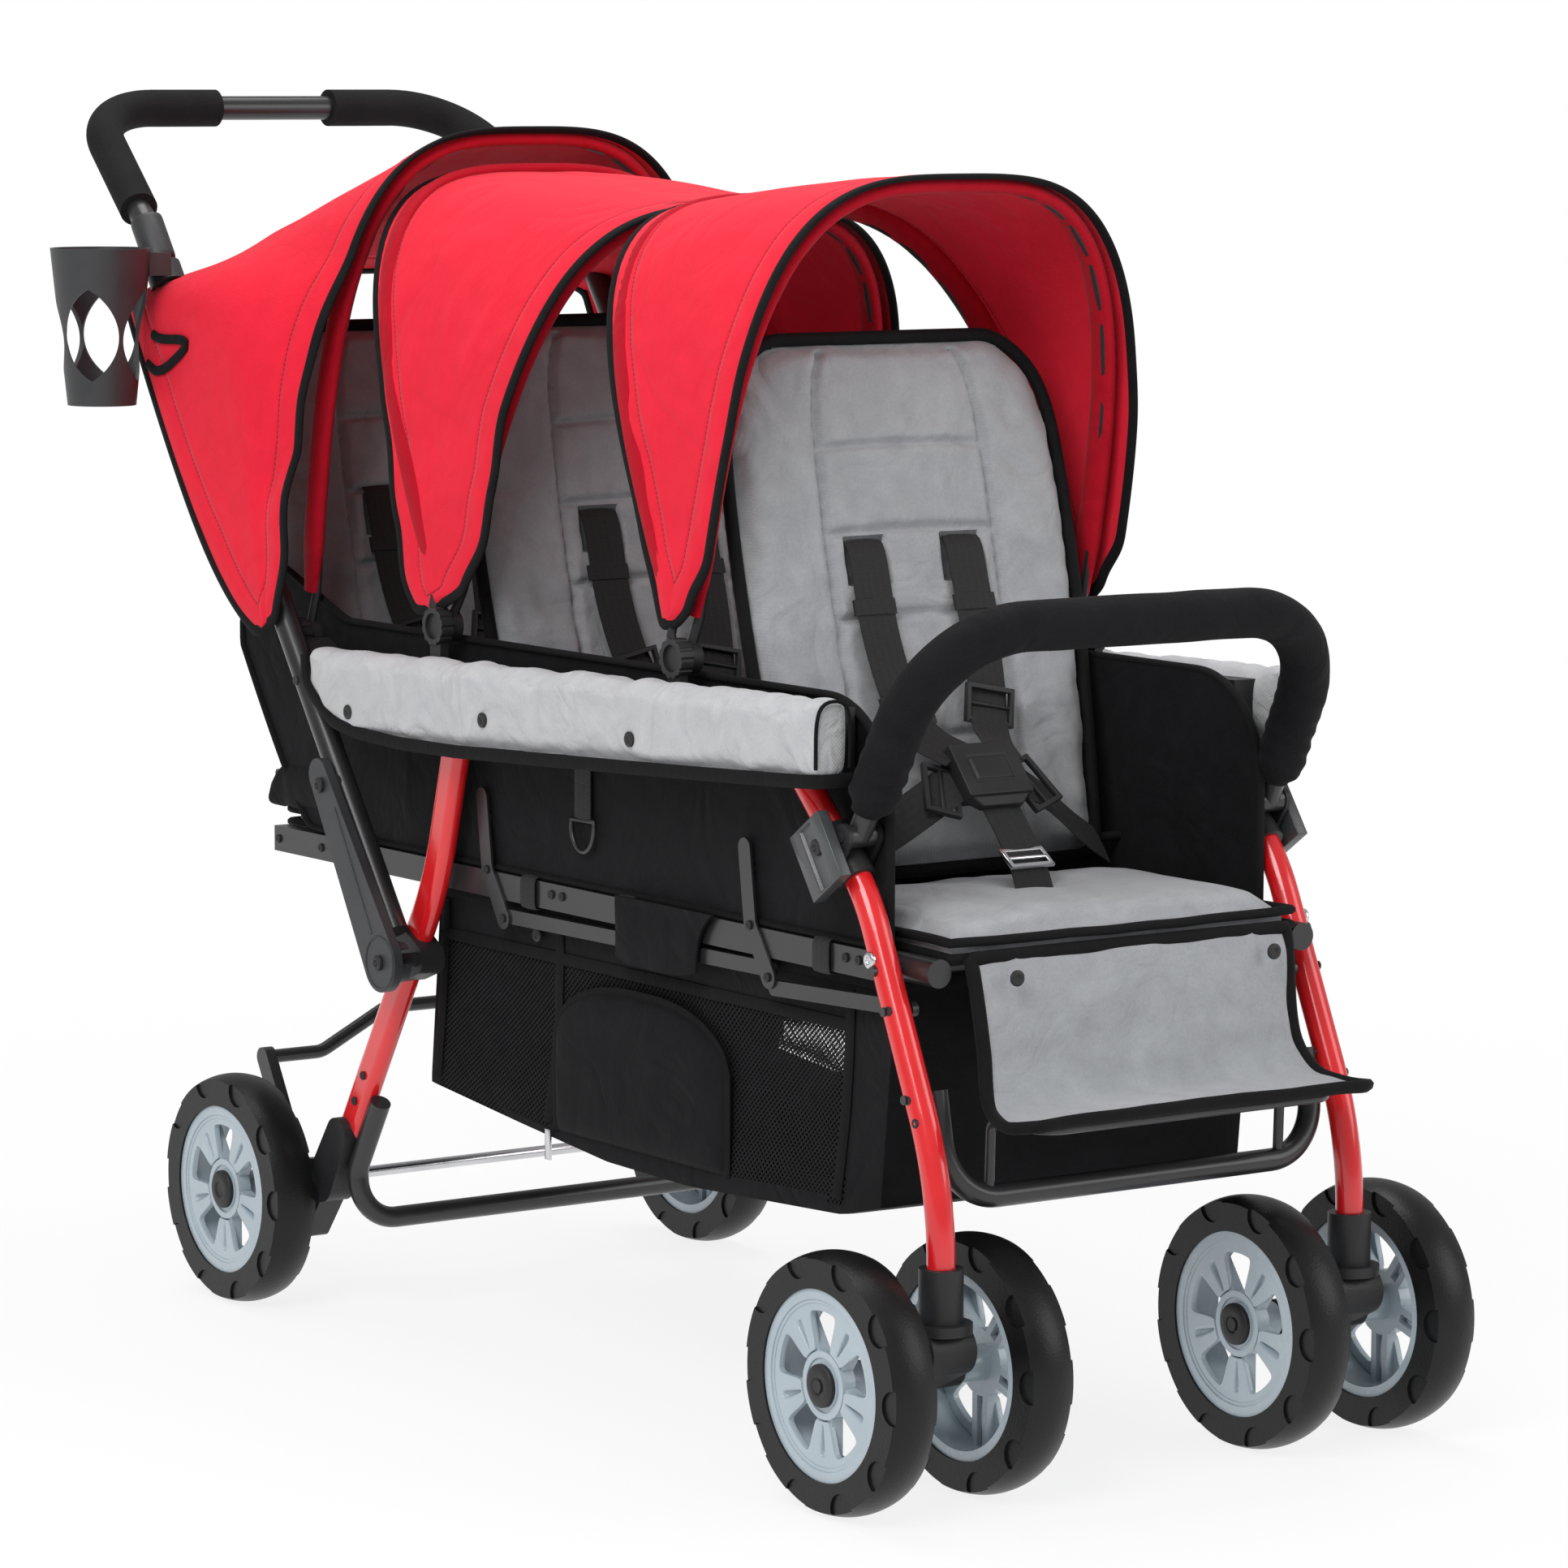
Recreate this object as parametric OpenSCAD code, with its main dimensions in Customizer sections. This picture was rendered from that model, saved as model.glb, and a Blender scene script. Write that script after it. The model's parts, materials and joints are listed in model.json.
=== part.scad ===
// Tandem stroller with three seats in line: folding steel frame, swivel casters in front,
// fixed wheels behind, one canopy over each seat and a bumper bar across the front seat.
// X is the width, the front points along -Y, Z is up and the floor is z = 0.
// Side-view points are written [y, z]; both sides of the frame are mirror images.

/* [Seats] */
// Distance from one seat to the next
seat_pitch = 385; // [380:1:388]
// Half width of a seat cushion
seat_half_w = 165; // [150:1:168]
// Height of a seat cushion at its crown
seat_pad_h = 30; // [22:1:34]
// How much closer the rear seat sits to the middle one
rear_seat_closer = 30; // [24:1:34]
// Front edge of the front seat cushion
seat_front_y = -612; // [-616:1:-606]
// Front to back length of a seat cushion
seat_depth = 220; // [200:1:224]
// Lean of the seat backs from upright
back_lean = 13; // [10:0.5:14]
// Length of the front and middle seat backs
back_length = 428; // [400:1:436]
// Thickness of a seat back
back_thick = 26; // [20:1:28]
// Width of the harness webbing
strap_w = 38; // [25:1:40]

/* [Frame tubes] */
// Radius of the front leg tube
front_leg_r = 11; // [10:0.5:11]
// Distance of the front legs from the middle
front_leg_x = 198; // [197:0.5:199]
// Depth of the flattened rear leg tube, seen from the side
rear_leg_depth = 30; // [26:1:30]
// Thickness of the flattened rear leg tube
rear_leg_w = 16; // [14:1:16]
// Height of the seat rails
rail_h = 22; // [18:1:22]
// Radius of the handle tube
handle_r = 11; // [10:0.5:11]
// Distance of the handle tubes from the middle
handle_x = 224.5; // [224:0.5:225]
// Outer radius of the foam grips
grip_r = 17; // [15:0.5:18]
// Radius of the bumper bar inside its padded cover
bumper_r = 9.5; // [8:0.5:9.5]
// Outer radius of the padded bumper cover
bumper_cover_r = 17; // [15:0.5:18]

/* [Wheels] */
// Radius of all six wheels
wheel_r = 100; // [98:1:100]
// Width of a tyre
wheel_w = 40; // [36:1:40]
// Outer radius of a rim
rim_r = 73; // [68:1:76]
// Lugs along each shoulder of a tyre
lugs = 10; // [8:1:12]
// Pairs of spokes in a rim
spokes = 5; // [4:1:6]
// Distance that the caster axle trails behind its stem
caster_trail = 40.5; // [30:0.5:44]
// Distance of each caster wheel from its stem
caster_half_track = 63; // [62.5:0.1:64]

/* [Canopies] */
// Half width of the front and middle canopies
canopy_half_w = 204; // [203:1:206]
// Squareness of the canopy arch
canopy_square = 3.3; // [2.5:0.1:4]
// Thickness of the canopy cloth with its lining
cloth = 2; // [1.5:0.1:2]
// Radius of the canopy bows
bow_r = 4; // [3:0.5:4]

/* [Hidden] */
$fn = 48;
fit = 0.05;
gap = 0.5;
red = [0.85, 0.12, 0.16];
grey_cloth = [0.60, 0.61, 0.63];
black = [0.09, 0.09, 0.10];
soft_black = [0.14, 0.14, 0.15];
rim_grey = [0.68, 0.74, 0.79];
steel = [0.75, 0.76, 0.78];

// Pivots seen from the side
rear_pivot = [27, 556];
handle_pivot = [241.8, 552];
front_pivot = [-440, 557];
bumper_pivot = [-533, 500];
latch_pin = [87, 329];
foot_rivet = [182, 469];
rear_axle_at = [331.5, 100];
canopy_pivots = [[-298, 615], [58, 612], [289, 585]];
rail_pin = [-569, 402];

// Front leg: caster spindle, two gentle bends, end pinned in the armrest
front_leg_foot_z = 150;
front_leg_path = [[-641, front_leg_foot_z], [-641, 245], [-545, 455], front_pivot + [6, 6]];
front_leg_bends = [270, 150];
stem_y = front_leg_path[0][0];
bolt_r = 3.5;
crossbar_bolt = [-609, 310];
link_bolt = [-582, 373];

// Rear leg: pinned in the armrest, one bend, end plugged into the wheel arm
rear_leg_x = 200;
rear_leg_knee = [71, 395.4];
rear_leg_foot = [239, 117.7];
rear_leg_bend = 300;
rear_leg_top = rear_pivot - 6 * unit(rear_leg_knee - rear_pivot);

// Armrest beam
core_x = 198;
core_w = 27.6;
core_wall = 2.4;
core_rear_y = 239;
core_outline = [[-508, 545], [-508, 594], [60, 582], [core_rear_y, 567], [core_rear_y, 537], [190, 545]];
channel_outline = [[-500, 530], [-500, 589], [60, 577], [60, 530]];

// Padded armrest sleeve
pad_in_x = 203;
pad_out_x = 239.5;
pad_outline = [[-535, 541], [-535, 609], [230, 586], [230, 556], [168, 525]];
pad_round = 16;
pad_slope = atan2(pad_outline[2][1] - pad_outline[1][1], pad_outline[2][0] - pad_outline[1][0]);

// Seat rails and what hangs on them
rail_in_x = 172;
rail_out_x = 186;
rail_z = 400;
rail_y = [-540, 366];
rail_stub_x = 175.5;
rail_stub_y = -606;
cross_tube_r = 8;
cross_tube_z = 402;
seat_bottom_z = cross_tube_z + cross_tube_r;
panel_x = [175.5, 179.5];
hanger_x = [186.5, 188.5];
link_x = [181, 186.5];

// Seat backs: foot of the front face, direction up the back, direction out of it
back_up = [sin(back_lean), cos(back_lean)];
back_out = [-cos(back_lean), sin(back_lean)];
back_foot = [-384.6, 445];
back_rod_r = 4;
back_rod = back_foot - back_thick / 2 * back_out + 14 * back_up;
rear_back_length = back_length - 18;

// Handle: straight side tubes, then the bent push bar
handle_foot_at = [97.8, 352];
handle_joint = [489.5, 896];
handle_along = unit(handle_joint - handle_foot_at);
handle_way = [handle_joint - 287 * handle_along, handle_joint + 40 * handle_along];
handle_bend = [510, 924.5];
handle_top = [685, 1033];
handle_top_x = 190;
handle_pin_r = 4;
handle_bend_r = 60;
handle_corner_r = 75;

// Cup holder beside the handle tube
cup_at = [-290, 482];
cup_z = [777, 914];
cup_r = [30, 44];
cup_wall = 3;

// Vectors
function unit(v) = v / norm(v);
function across(d) = unit(abs(d[0]) < 0.9 ? cross([1, 0, 0], d) : cross([0, 0, 1], d));
function side(x, p) = [x, p[0], p[1]];
function mix(a, b, t) = a + (b - a) * t;
function ease(t) = let (s = min(1, max(0, t))) s * s * (3 - 2 * s);
function flip_x(path) = [for (i = [len(path) - 1:-1:0]) [-path[i][0], path[i][1], path[i][2]]];
// A path given on the -X side, carried across to its mirror image
function loop(path) = concat(path, flip_x(path));
// Distance of a seat behind the front one
function seat_y(k) = k * seat_pitch - (k == 2 ? rear_seat_closer : 0);

// Frame whose local X and Z axes point along two given directions
module place(origin, x_dir, z_dir) {
  y_dir = cross(z_dir, x_dir);
  multmatrix([[x_dir[0], y_dir[0], z_dir[0], origin[0]], [x_dir[1], y_dir[1], z_dir[1], origin[1]],
    [x_dir[2], y_dir[2], z_dir[2], origin[2]], [0, 0, 0, 1]]) children();
}

// Straight bar with the section of its child
module bar(a, b) {
  along = unit(b - a);
  place(a, across(along), along) linear_extrude(norm(b - a)) children();
}

// Bent bar: straight runs and round bends, with the section of its child.
// Each bend is a hair thinner and reaches a little way into the runs beside it.
module sweep(path, bends) {
  thin = 0.995;
  reach = 0.3;
  last = len(path) - 1;
  dir = [for (i = [0:last - 1]) unit(path[i + 1] - path[i])];
  turn = [for (i = [0:last]) i == 0 || i == last ? 0 : acos(dir[i - 1] * dir[i])];
  cut = [for (i = [0:last]) i == 0 || i == last ? 0 : bends[i - 1] * tan(turn[i] / 2)];
  for (i = [0:last - 1]) bar(path[i] + dir[i] * cut[i], path[i + 1] - dir[i] * cut[i + 1]) children();
  for (i = [1:last - 1]) {
    out = unit(dir[i - 1] * cos(turn[i]) - dir[i]);
    extra = reach / bends[i - 1] * 180 / PI;
    place(path[i] - dir[i - 1] * cut[i] - out * bends[i - 1], out, cross(out, dir[i - 1]))
      rotate(-extra) rotate_extrude(angle = turn[i] + 2 * extra)
        translate([bends[i - 1], 0]) scale(thin) children();
  }
}

// Side-view outline turned into a plate between two distances from the middle plane
module plate(x0, x1) translate([x0, 0, 0]) rotate([90, 0, 90]) linear_extrude(x1 - x0) children();
module pin_x(x0, x1, p, r) translate([x0, p[0], p[1]]) rotate([0, 90, 0]) cylinder(h = x1 - x0, r = r);
module both_sides() {
  children();
  mirror([1, 0, 0]) children();
}

// Two circles of different radius and the tangents between them
module taper(p0, r0, p1, r1) {
  u = unit(p1 - p0);
  a = acos((r0 - r1) / norm(p1 - p0));
  function spoke(s) = [u[0] * cos(a) - s * u[1] * sin(a), u[1] * cos(a) + s * u[0] * sin(a)];
  translate(p0) circle(r0);
  translate(p1) circle(r1);
  polygon([p0 + r0 * spoke(1), p1 + r1 * spoke(1), p1 + r1 * spoke(-1), p0 + r0 * spoke(-1)]);
}
module obround(depth, width) taper([(width - depth) / 2, 0], width / 2, [(depth - width) / 2, 0], width / 2);

// Closed soft solid between an outer and an inner grid of points of equal size.
// Columns run along X; X crossed with the row direction points out of the outer grid.
module skin(outer, inner) {
  rows = len(outer);
  cols = len(outer[0]);
  count = rows * cols;
  function at(i, j) = i * cols + j;
  rim = concat([for (j = [0:cols - 2]) at(0, j)], [for (i = [0:rows - 2]) at(i, cols - 1)],
    [for (j = [cols - 1:-1:1]) at(rows - 1, j)], [for (i = [rows - 1:-1:1]) at(i, 0)]);
  polyhedron(concat([for (row = outer) each row], [for (row = inner) each row]), concat(
    [for (i = [0:rows - 2], j = [0:cols - 2]) each
      [[at(i, j), at(i + 1, j + 1), at(i, j + 1)], [at(i, j), at(i + 1, j), at(i + 1, j + 1)]]],
    [for (i = [0:rows - 2], j = [0:cols - 2]) each
      [[count + at(i, j), count + at(i, j + 1), count + at(i + 1, j + 1)],
       [count + at(i, j), count + at(i + 1, j + 1), count + at(i + 1, j)]]],
    [for (k = [0:len(rim) - 1]) let (p = rim[k], q = rim[(k + 1) % len(rim)]) each
      [[p, q, count + q], [p, count + q, count + p]]]));
}

// Round rod along points that lie in one plane; normal is the normal of that plane
module rod(points, radius, normal, sides = 8) {
  last = len(points) - 1;
  function along(i) = unit(points[min(last, i + 1)] - points[max(0, i - 1)]);
  rings = [for (i = [0:last]) let (b = cross(along(i), normal))
    [for (k = [0:sides - 1]) points[i] + radius * (cos(360 * k / sides) * normal + sin(360 * k / sides) * b)]];
  polyhedron([for (ring = rings) each ring], concat(
    [[for (k = [0:sides - 1]) k]], [[for (k = [sides - 1:-1:0]) last * sides + k]],
    [for (i = [0:last - 1], k = [0:sides - 1]) let (a = i * sides + k, b = i * sides + (k + 1) % sides) each
      [[a, b + sides, b], [a, a + sides, b + sides]]]));
}

// Flat strap along side-view points, at a distance x from the middle plane
module strap(points, x, width, thick = 2) {
  last = len(points) - 1;
  function lift(i) = let (t = unit(points[min(last, i + 1)] - points[max(0, i - 1)])) [-t[1], t[0]];
  function row(i, h) = [for (s = [-1, 1]) side(x + s * width / 2, points[i] + h * lift(i))];
  skin([for (i = [0:last]) row(i, thick)], [for (i = [0:last]) row(i, 0)]);
}

// Frame: front legs and the crossbar between them
module front_leg_tube(clearance = 0) sweep([for (p = front_leg_path) side(-front_leg_x, p)], front_leg_bends)
  circle(front_leg_r + clearance);
module front_legs() color(red) both_sides() difference() {
  front_leg_tube();
  pin_x(-front_leg_x - 20, -front_leg_x + 20, front_pivot, 4 + fit);
  pin_x(-front_leg_x - 20, -front_leg_x + 20, rail_pin, 4 + fit);
  for (p = [crossbar_bolt, link_bolt]) pin_x(-front_leg_x - 20, -front_leg_x + 20, p, bolt_r + fit);
}

// U-shaped tube bolted inside the legs, with the wire frame that carries the foot flap
module front_crossbar() color(black) {
  tube_r = 9;
  wire_r = 4;
  tube_x = 178;
  wire_x = 140;
  low = [-622, 232];
  high = [-606, 314];
  flap_front = [-690, 291.5];
  sweep(loop([side(-tube_x, high), side(-tube_x, low)]), [45, 45]) circle(tube_r);
  both_sides() pin_x(-front_leg_x - front_leg_r - 2, -tube_x, crossbar_bolt, bolt_r);
  sweep(loop([side(-wire_x, low), side(-wire_x, [low[0] - 2, flap_front[1]]), side(-wire_x, flap_front)]),
    [10, 20, 20, 10]) circle(wire_r);
}

// Lug at the rear end of the armrest, up to the rear canopy's pivot
module rear_lug(clearance = 0)
  taper([core_rear_y, 560], 7 + clearance, canopy_pivots[2] - [0, 6], 11 + clearance);

// Armrests: a beam open below for the legs, with their hinge pins, under a padded sleeve
module armrests() color(soft_black) both_sides() {
  difference() {
    plate(-core_x - core_w / 2, -core_x + core_w / 2) {
      polygon(core_outline);
      translate(handle_pivot) circle(15);
      rear_lug();
    }
    plate(-core_x - core_w / 2 + core_wall, -core_x + core_w / 2 - core_wall) polygon(channel_outline);
    // Room for the hub of the rear canopy
    pin_x(-200, -core_x + 20, canopy_pivots[2], 15);
    pin_x(-core_x - 20, -core_x + 20, canopy_pivots[2], 4 + fit);
  }
  pin_x(-core_x - core_w / 2 + core_wall, -core_x + core_w / 2 - core_wall, rear_pivot, 5);
  pin_x(-core_x - core_w / 2 + core_wall, -core_x + core_w / 2 - core_wall, front_pivot, 4);
  pin_x(-handle_x - handle_r - 1, -core_x, handle_pivot, handle_pin_r);
}

// Crowned sleeve around the beam: drawn-in waist on the outside, rounded edges, slanted rear end
module armrest_pads() color(grey_cloth) both_sides() difference() {
  intersection() {
    plate(-pad_out_x, -pad_in_x) polygon(pad_outline);
    rotate([90 + pad_slope, 0, 0])
      translate([0, 0, -300]) linear_extrude(900) armrest_pad_section();
  }
  plate(-core_x - core_w / 2 - gap, -core_x + core_w / 2 + gap) {
    polygon([for (p = core_outline) p + (p[1] > 560 ? [0, gap] : [0, -30])]);
    translate(handle_pivot) circle(15 + gap);
  }
  // Leg openings below and the way of the handle tube past the rear end
  plate(-core_x - core_w / 2 - gap, -core_x + core_w / 2 + gap) translate([-600, 500]) square([900, 50]);
  bar(side(-handle_x, handle_foot_at), side(-handle_x, handle_joint)) circle(handle_r + 1.5);
  for (k = [0, 1]) plate(-213, -200) translate(canopy_pivots[k] - [0, 40]) square([18, 80], center = true);
}
module armrest_pad_section() {
  low = 500;
  high = 593;
  x0 = -pad_out_x;
  x1 = -pad_in_x;
  difference() {
    union() {
      translate([x0, low]) square([x1 - x0, high - pad_round - low]);
      translate([x0 + pad_round, low]) square([x1 - x0 - 2 * pad_round, high - low]);
      for (x = [x0 + pad_round, x1 - pad_round]) translate([x, high - pad_round]) circle(pad_round);
    }
    translate([x0 - 118.4, (low + high) / 2 + 4]) circle(120);
  }
}

// Seat rails with round front ends, and the tubes that carry the cushions
module seat_rails() color(black) both_sides() {
  translate([-rail_out_x, rail_y[0], rail_z - rail_h / 2])
    cube([rail_out_x - rail_in_x, rail_y[1] - rail_y[0], rail_h]);
  translate([-rail_stub_x, rail_y[0], cross_tube_z]) rotate([90, 0, 0])
    cylinder(h = rail_y[0] - rail_stub_y, r = 11);
  pin_x(-front_leg_x - front_leg_r - 3, -rail_stub_x, rail_pin, 4);
}
module seat_cross_tubes() color(black) {
  for (y = [-560, -420, -190, -40, 190, 340])
    pin_x(y < rail_y[0] ? -rail_stub_x + 11 : -rail_in_x, y < rail_y[0] ? rail_stub_x - 11 : rail_in_x,
      [y, cross_tube_z], cross_tube_r);
  for (k = [0:2]) let (reach = k < 2 ? hanger_x[1] : panel_x[1])
    pin_x(-reach, reach, back_rod + [seat_y(k), 0], back_rod_r);
}

// Link bars below the rails and the curved hangers that hold the rods of the seat backs
module lower_links() color(black) both_sides() {
  link_h = 12;
  plate(-link_x[1], -link_x[0]) taper(link_bolt, link_h / 2, [-403, 366], link_h / 2);
  plate(-link_x[1], -link_x[0]) taper([-396, 380], link_h / 2, [-14, 376], link_h / 2);
  pin_x(-front_leg_x - front_leg_r - 2, -link_x[0], link_bolt, bolt_r);
  for (k = [0, 1]) difference() {
    shift = [seat_y(k), 0];
    plate(-hanger_x[1], -hanger_x[0]) {
      taper(back_rod + [3, 16] + shift, 8, [-374, 412] + shift, 8);
      taper([-374, 412] + shift, 8, [-399, 374] + shift, 9);
    }
    pin_x(-hanger_x[1] - 1, -hanger_x[0] + 1, back_rod + shift, back_rod_r + fit);
  }
}

// Soft seat cushion: flat below, crowned above, sides drawn in between the corners
module seat_pad(k) {
  cols = 12;
  rows = 9;
  edge = 9;
  function half(v) = seat_half_w - 5 * sin(180 * v);
  function y_at(u, v) = seat_front_y + seat_y(k) + seat_depth * v + (0.5 - v) * 14 * pow(abs(u), 3);
  function crown(u, v) = pow(max(0, 1 - pow(abs(u), 5)), 0.6) * pow(max(0, 1 - pow(abs(2 * v - 1), 4)), 0.6);
  function grid(top) = [for (i = [0:rows]) let (v = i / rows) [for (j = [0:cols]) let (u = 2 * j / cols - 1)
    [u * half(v), y_at(u, v), seat_bottom_z + (top ? edge + (seat_pad_h - edge) * crown(u, v) : 0)]]];
  color(grey_cloth) skin(grid(true), grid(false));
}
module seat_pad_front() seat_pad(0);
module seat_pad_middle() seat_pad(1);
module seat_pad_rear() seat_pad(2);

// Soft seat back: rounded top corners, crowned front with two upright seams and cross channels
function back_half(v) = 150 + 14 * sin(150 * v) - 46 * pow(v, 9);
function back_face(u, v) = let (seam = exp(-pow((abs(u) - 0.5) / 0.09, 2)),
  channel = abs(u) < 0.55 ? pow(cos(180 * 5 * v), 8) : 0,
  crown = pow(max(0, 1 - pow(abs(u), 6)), 0.5) * pow(max(0, 1 - pow(abs(2 * v - 1), 10)), 0.5))
  -8 * (1 - crown) - 4 * seam * crown - 2.5 * channel * crown;
module seat_back(k, length) {
  cols = 12;
  rows = 16;
  function spot(u, v, depth) =
    side(u * back_half(v), back_foot + [seat_y(k), 0] + back_up * (length * v) + back_out * depth);
  function grid(front) = [for (i = [0:rows]) let (v = i / rows) [for (j = [0:cols]) let (u = 2 * j / cols - 1)
    spot(u, v, front ? back_face(u, v) : -back_thick)]];
  color(grey_cloth) difference() {
    skin(grid(true), grid(false));
    pin_x(-200, 200, back_rod + [seat_y(k), 0], back_rod_r + fit);
  }
}
module seat_back_front() seat_back(0, back_length);
module seat_back_middle() seat_back(1, back_length);
module seat_back_rear() seat_back(2, rear_back_length);

// Harness: shoulder straps on each back, lap and crotch straps with a buckle on each seat
module shoulder_harness(k) color(soft_black) for (x = [-48, 48]) {
  strap_low = 0.16;
  strap_high = 0.66;
  strap([for (i = [0:6]) let (v = mix(strap_low, strap_high, i / 6))
    back_foot + [seat_y(k), 0] + back_up * (back_length * v) + back_out * 1.5], x, strap_w);
}
module shoulder_harness_front() shoulder_harness(0);
module shoulder_harness_middle() shoulder_harness(1);
module shoulder_harness_rear() shoulder_harness(2);
module lap_harnesses() color(soft_black) for (k = [0:2]) translate([0, seat_y(k), 0]) {
  pad_top = seat_bottom_z + seat_pad_h;
  buckle = [-440, 500];
  strap([[-490, pad_top + 1], [-482, pad_top + 16], [-462, pad_top + 38], buckle - [6, 6]], 0, strap_w);
  translate(side(0, buckle)) rotate([-40, 0, 0]) cube([58, 14, 46], center = true);
  both_sides() place([-29, buckle[0], buckle[1]], [0, 0.3, 0.954], unit([-1, 0.35, -0.4]))
    translate([-strap_w / 2, -1, 0]) cube([strap_w, 2, 92]);
}

// Calf panel with its foot flap, a quilted strip from the seat edge down over the wire frame
module calf_panel() {
  cols = 10;
  thick = 7;
  path = [[-706, 299], [-690, 295.5], [-665, 295.5], [-644, 300], [-630, 320], [-624, 345], [-620, 370],
    [-616, 395], [-612.5, 412]];
  last = len(path) - 1;
  function lift(i) = let (t = unit(path[min(last, i + 1)] - path[max(0, i - 1)])) [-t[1], t[0]];
  function half(i) = mix(172, 152, ease(i / 5)) - 4 * sin(180 * i / last);
  function row(i, h) = [for (j = [0:cols]) let (u = 2 * j / cols - 1)
    side(u * half(i), path[i] + lift(i) * h * (h == 0 ? 0 : 1 - 0.5 * pow(abs(u), 6)))];
  color(grey_cloth) skin([for (i = [0:last]) row(i, thick)], [for (i = [0:last]) row(i, 0)]);
}

// Cloth side walls of the seats
module side_panels() color(black) both_sides() difference() {
  front_round = 80;
  plate(-panel_x[1], -panel_x[0]) {
    polygon([[-547, 414], [-547, 520], [-467, 600], [250, 600], [362, 640], [392, 540],
      [384, 440], [366, 411]]);
    translate([-547 + front_round, 520]) circle(front_round);
  }
  for (k = [0:2]) pin_x(-200, -150, back_rod + [seat_y(k), 0], back_rod_r + fit);
}

// Open basket that hangs below the rails
module basket() color(black) {
  half = 175;
  wall = 2;
  top = rail_z - rail_h / 2;
  // The loaded bottom hangs below the line between its ends
  sag = [[-478, 198], [-270, 187], [-150, 188.5], [-20, 201]];
  difference() {
    plate(-half, half)
      polygon([[-546, top], [-546, 357], [-531, 211], each sag, [124, 216], [110, 360], [110, top]]);
    plate(-half + wall, half - wall)
      polygon([[-546 + wall, top + 9], [-546 + wall, 357], [-531 + wall, 211 + wall],
        each [for (p = sag) p + [0, wall]], [124 - wall, 216 + wall], [110 - wall, 360],
        [110 - wall, top + 9]]);
  }
}

// Point of a canopy arch: pivot, lean from upright, half width, height, squareness, polar angle
function arch(pivot, lean, w, h, n, a) = let (q = pow(pow(abs(cos(a)), n) + pow(sin(a), n), -1 / n))
  [-w * cos(a) * q, pivot[0] - h * sin(a) * q * sin(lean), pivot[1] + h * sin(a) * q * cos(lean)];
function bow_plane(lean) = [0, cos(lean), sin(lean)];
function polar(i, count, start) = start + (180 - 2 * start) * i / count;
// Lean and height at the front and rear hem of each canopy
hems = [[[13.8, 387], [-28.4, 399]], [[23, 379], [-28, 421]], [[7, 438], [-38, 385]]];
cloth_cols = 24;
cloth_crown = 4;
// Cloth stretched in straight lines between two rows of points, with a slight crown
function stretched(front, rear, rows) = let (last = len(front) - 1) [for (i = [0:rows]) let (t = i / rows)
  [for (j = [0:last]) mix(front[j], rear[j], t) + [0, 0, cloth_crown * sin(180 * t) * sin(180 * j / last)]]];

module canopy_cover(k) {
  rows = 6;
  start = 5.2;
  // The lower end of the front hem is drawn back towards the knob
  toe = 24;
  function hem(e, in) = [for (j = [0:cloth_cols]) let (a = polar(j, cloth_cols, start))
    arch(canopy_pivots[k], hems[k][e][0], canopy_half_w - in, hems[k][e][1] - in, canopy_square, a)
      + [0, e == 0 ? toe * pow(abs(cos(a)), 16) : 0, 0]];
  color(red) skin(stretched(hem(0, 0), hem(1, 0), rows), stretched(hem(0, cloth), hem(1, cloth), rows));
}
module canopy_cover_front() canopy_cover(0);
module canopy_cover_middle() canopy_cover(1);

// Rear canopy: widens behind its bow so that it passes outside the handle tubes
module canopy_cover_rear() {
  rows = 10;
  start = 1.5;
  wide = 240;
  square_end = 8;
  belly = 32;
  pivot = canopy_pivots[2];
  function low_share(a, h) = 1 - ease((h * tan(min(89, min(a, 180 - a))) - 90) / 170);
  function front(in) = let (h = hems[2][0][1]) [for (j = [0:cloth_cols]) let (a = polar(j, cloth_cols, start))
    arch(pivot, hems[2][0][0], mix(canopy_half_w + 3, wide, low_share(a, h)) - in, h - in, canopy_square, a)];
  // The rear hem leans further back towards its lower ends
  function rear(in) = let (h = hems[2][1][1]) [for (j = [0:cloth_cols]) let (a = polar(j, cloth_cols, start))
    arch(pivot, hems[2][1][0] - belly * pow(1 - sin(a), 2), wide - in, h - in, square_end, a)];
  color(red) difference() {
    skin(stretched(front(0), rear(0), rows), stretched(front(cloth), rear(cloth), rows));
    both_sides() bar(side(-handle_x, handle_way[0]), side(-handle_x, handle_way[1])) circle(handle_r + 1.5);
    cup_clip(2);
    translate([cup_at[0], cup_at[1], cup_z[0] - 2]) cylinder(h = cup_z[1] - cup_z[0] + 4, r = cup_r[1] + 2);
  }
}

// Bow inside the hem of a canopy: comes out of its hub and follows the arch
module bow(k, lean, w, h, foot) {
  cols = 20;
  start = 5;
  pivot = canopy_pivots[k];
  rise = h - cloth - bow_r - bow_drop;
  arch_points = [for (j = [0:cols]) arch(pivot, lean, w, rise, canopy_square, polar(j, cols, start))];
  // Foot points as distance from the middle plane and from the pivot
  foot_points = [for (p = foot) [-p[0], pivot[0] - p[1] * sin(lean), pivot[1] + p[1] * cos(lean)]];
  rod(concat(foot_points, arch_points, flip_x(foot_points)), bow_r, bow_plane(lean));
}
bow_drop = 6;
rear_bow_w = canopy_half_w - cloth - bow_r - 0.3;
front_bow_w = rear_bow_w - 2 * bow_r - 0.7;
module rear_bow(k) color(soft_black)
  bow(k, hems[k][1][0] + 1.2, rear_bow_w, hems[k][1][1], [[206, 9], [205.5, 19]]);
module canopy_rear_bow_front() rear_bow(0);
module canopy_rear_bow_middle() rear_bow(1);
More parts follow.
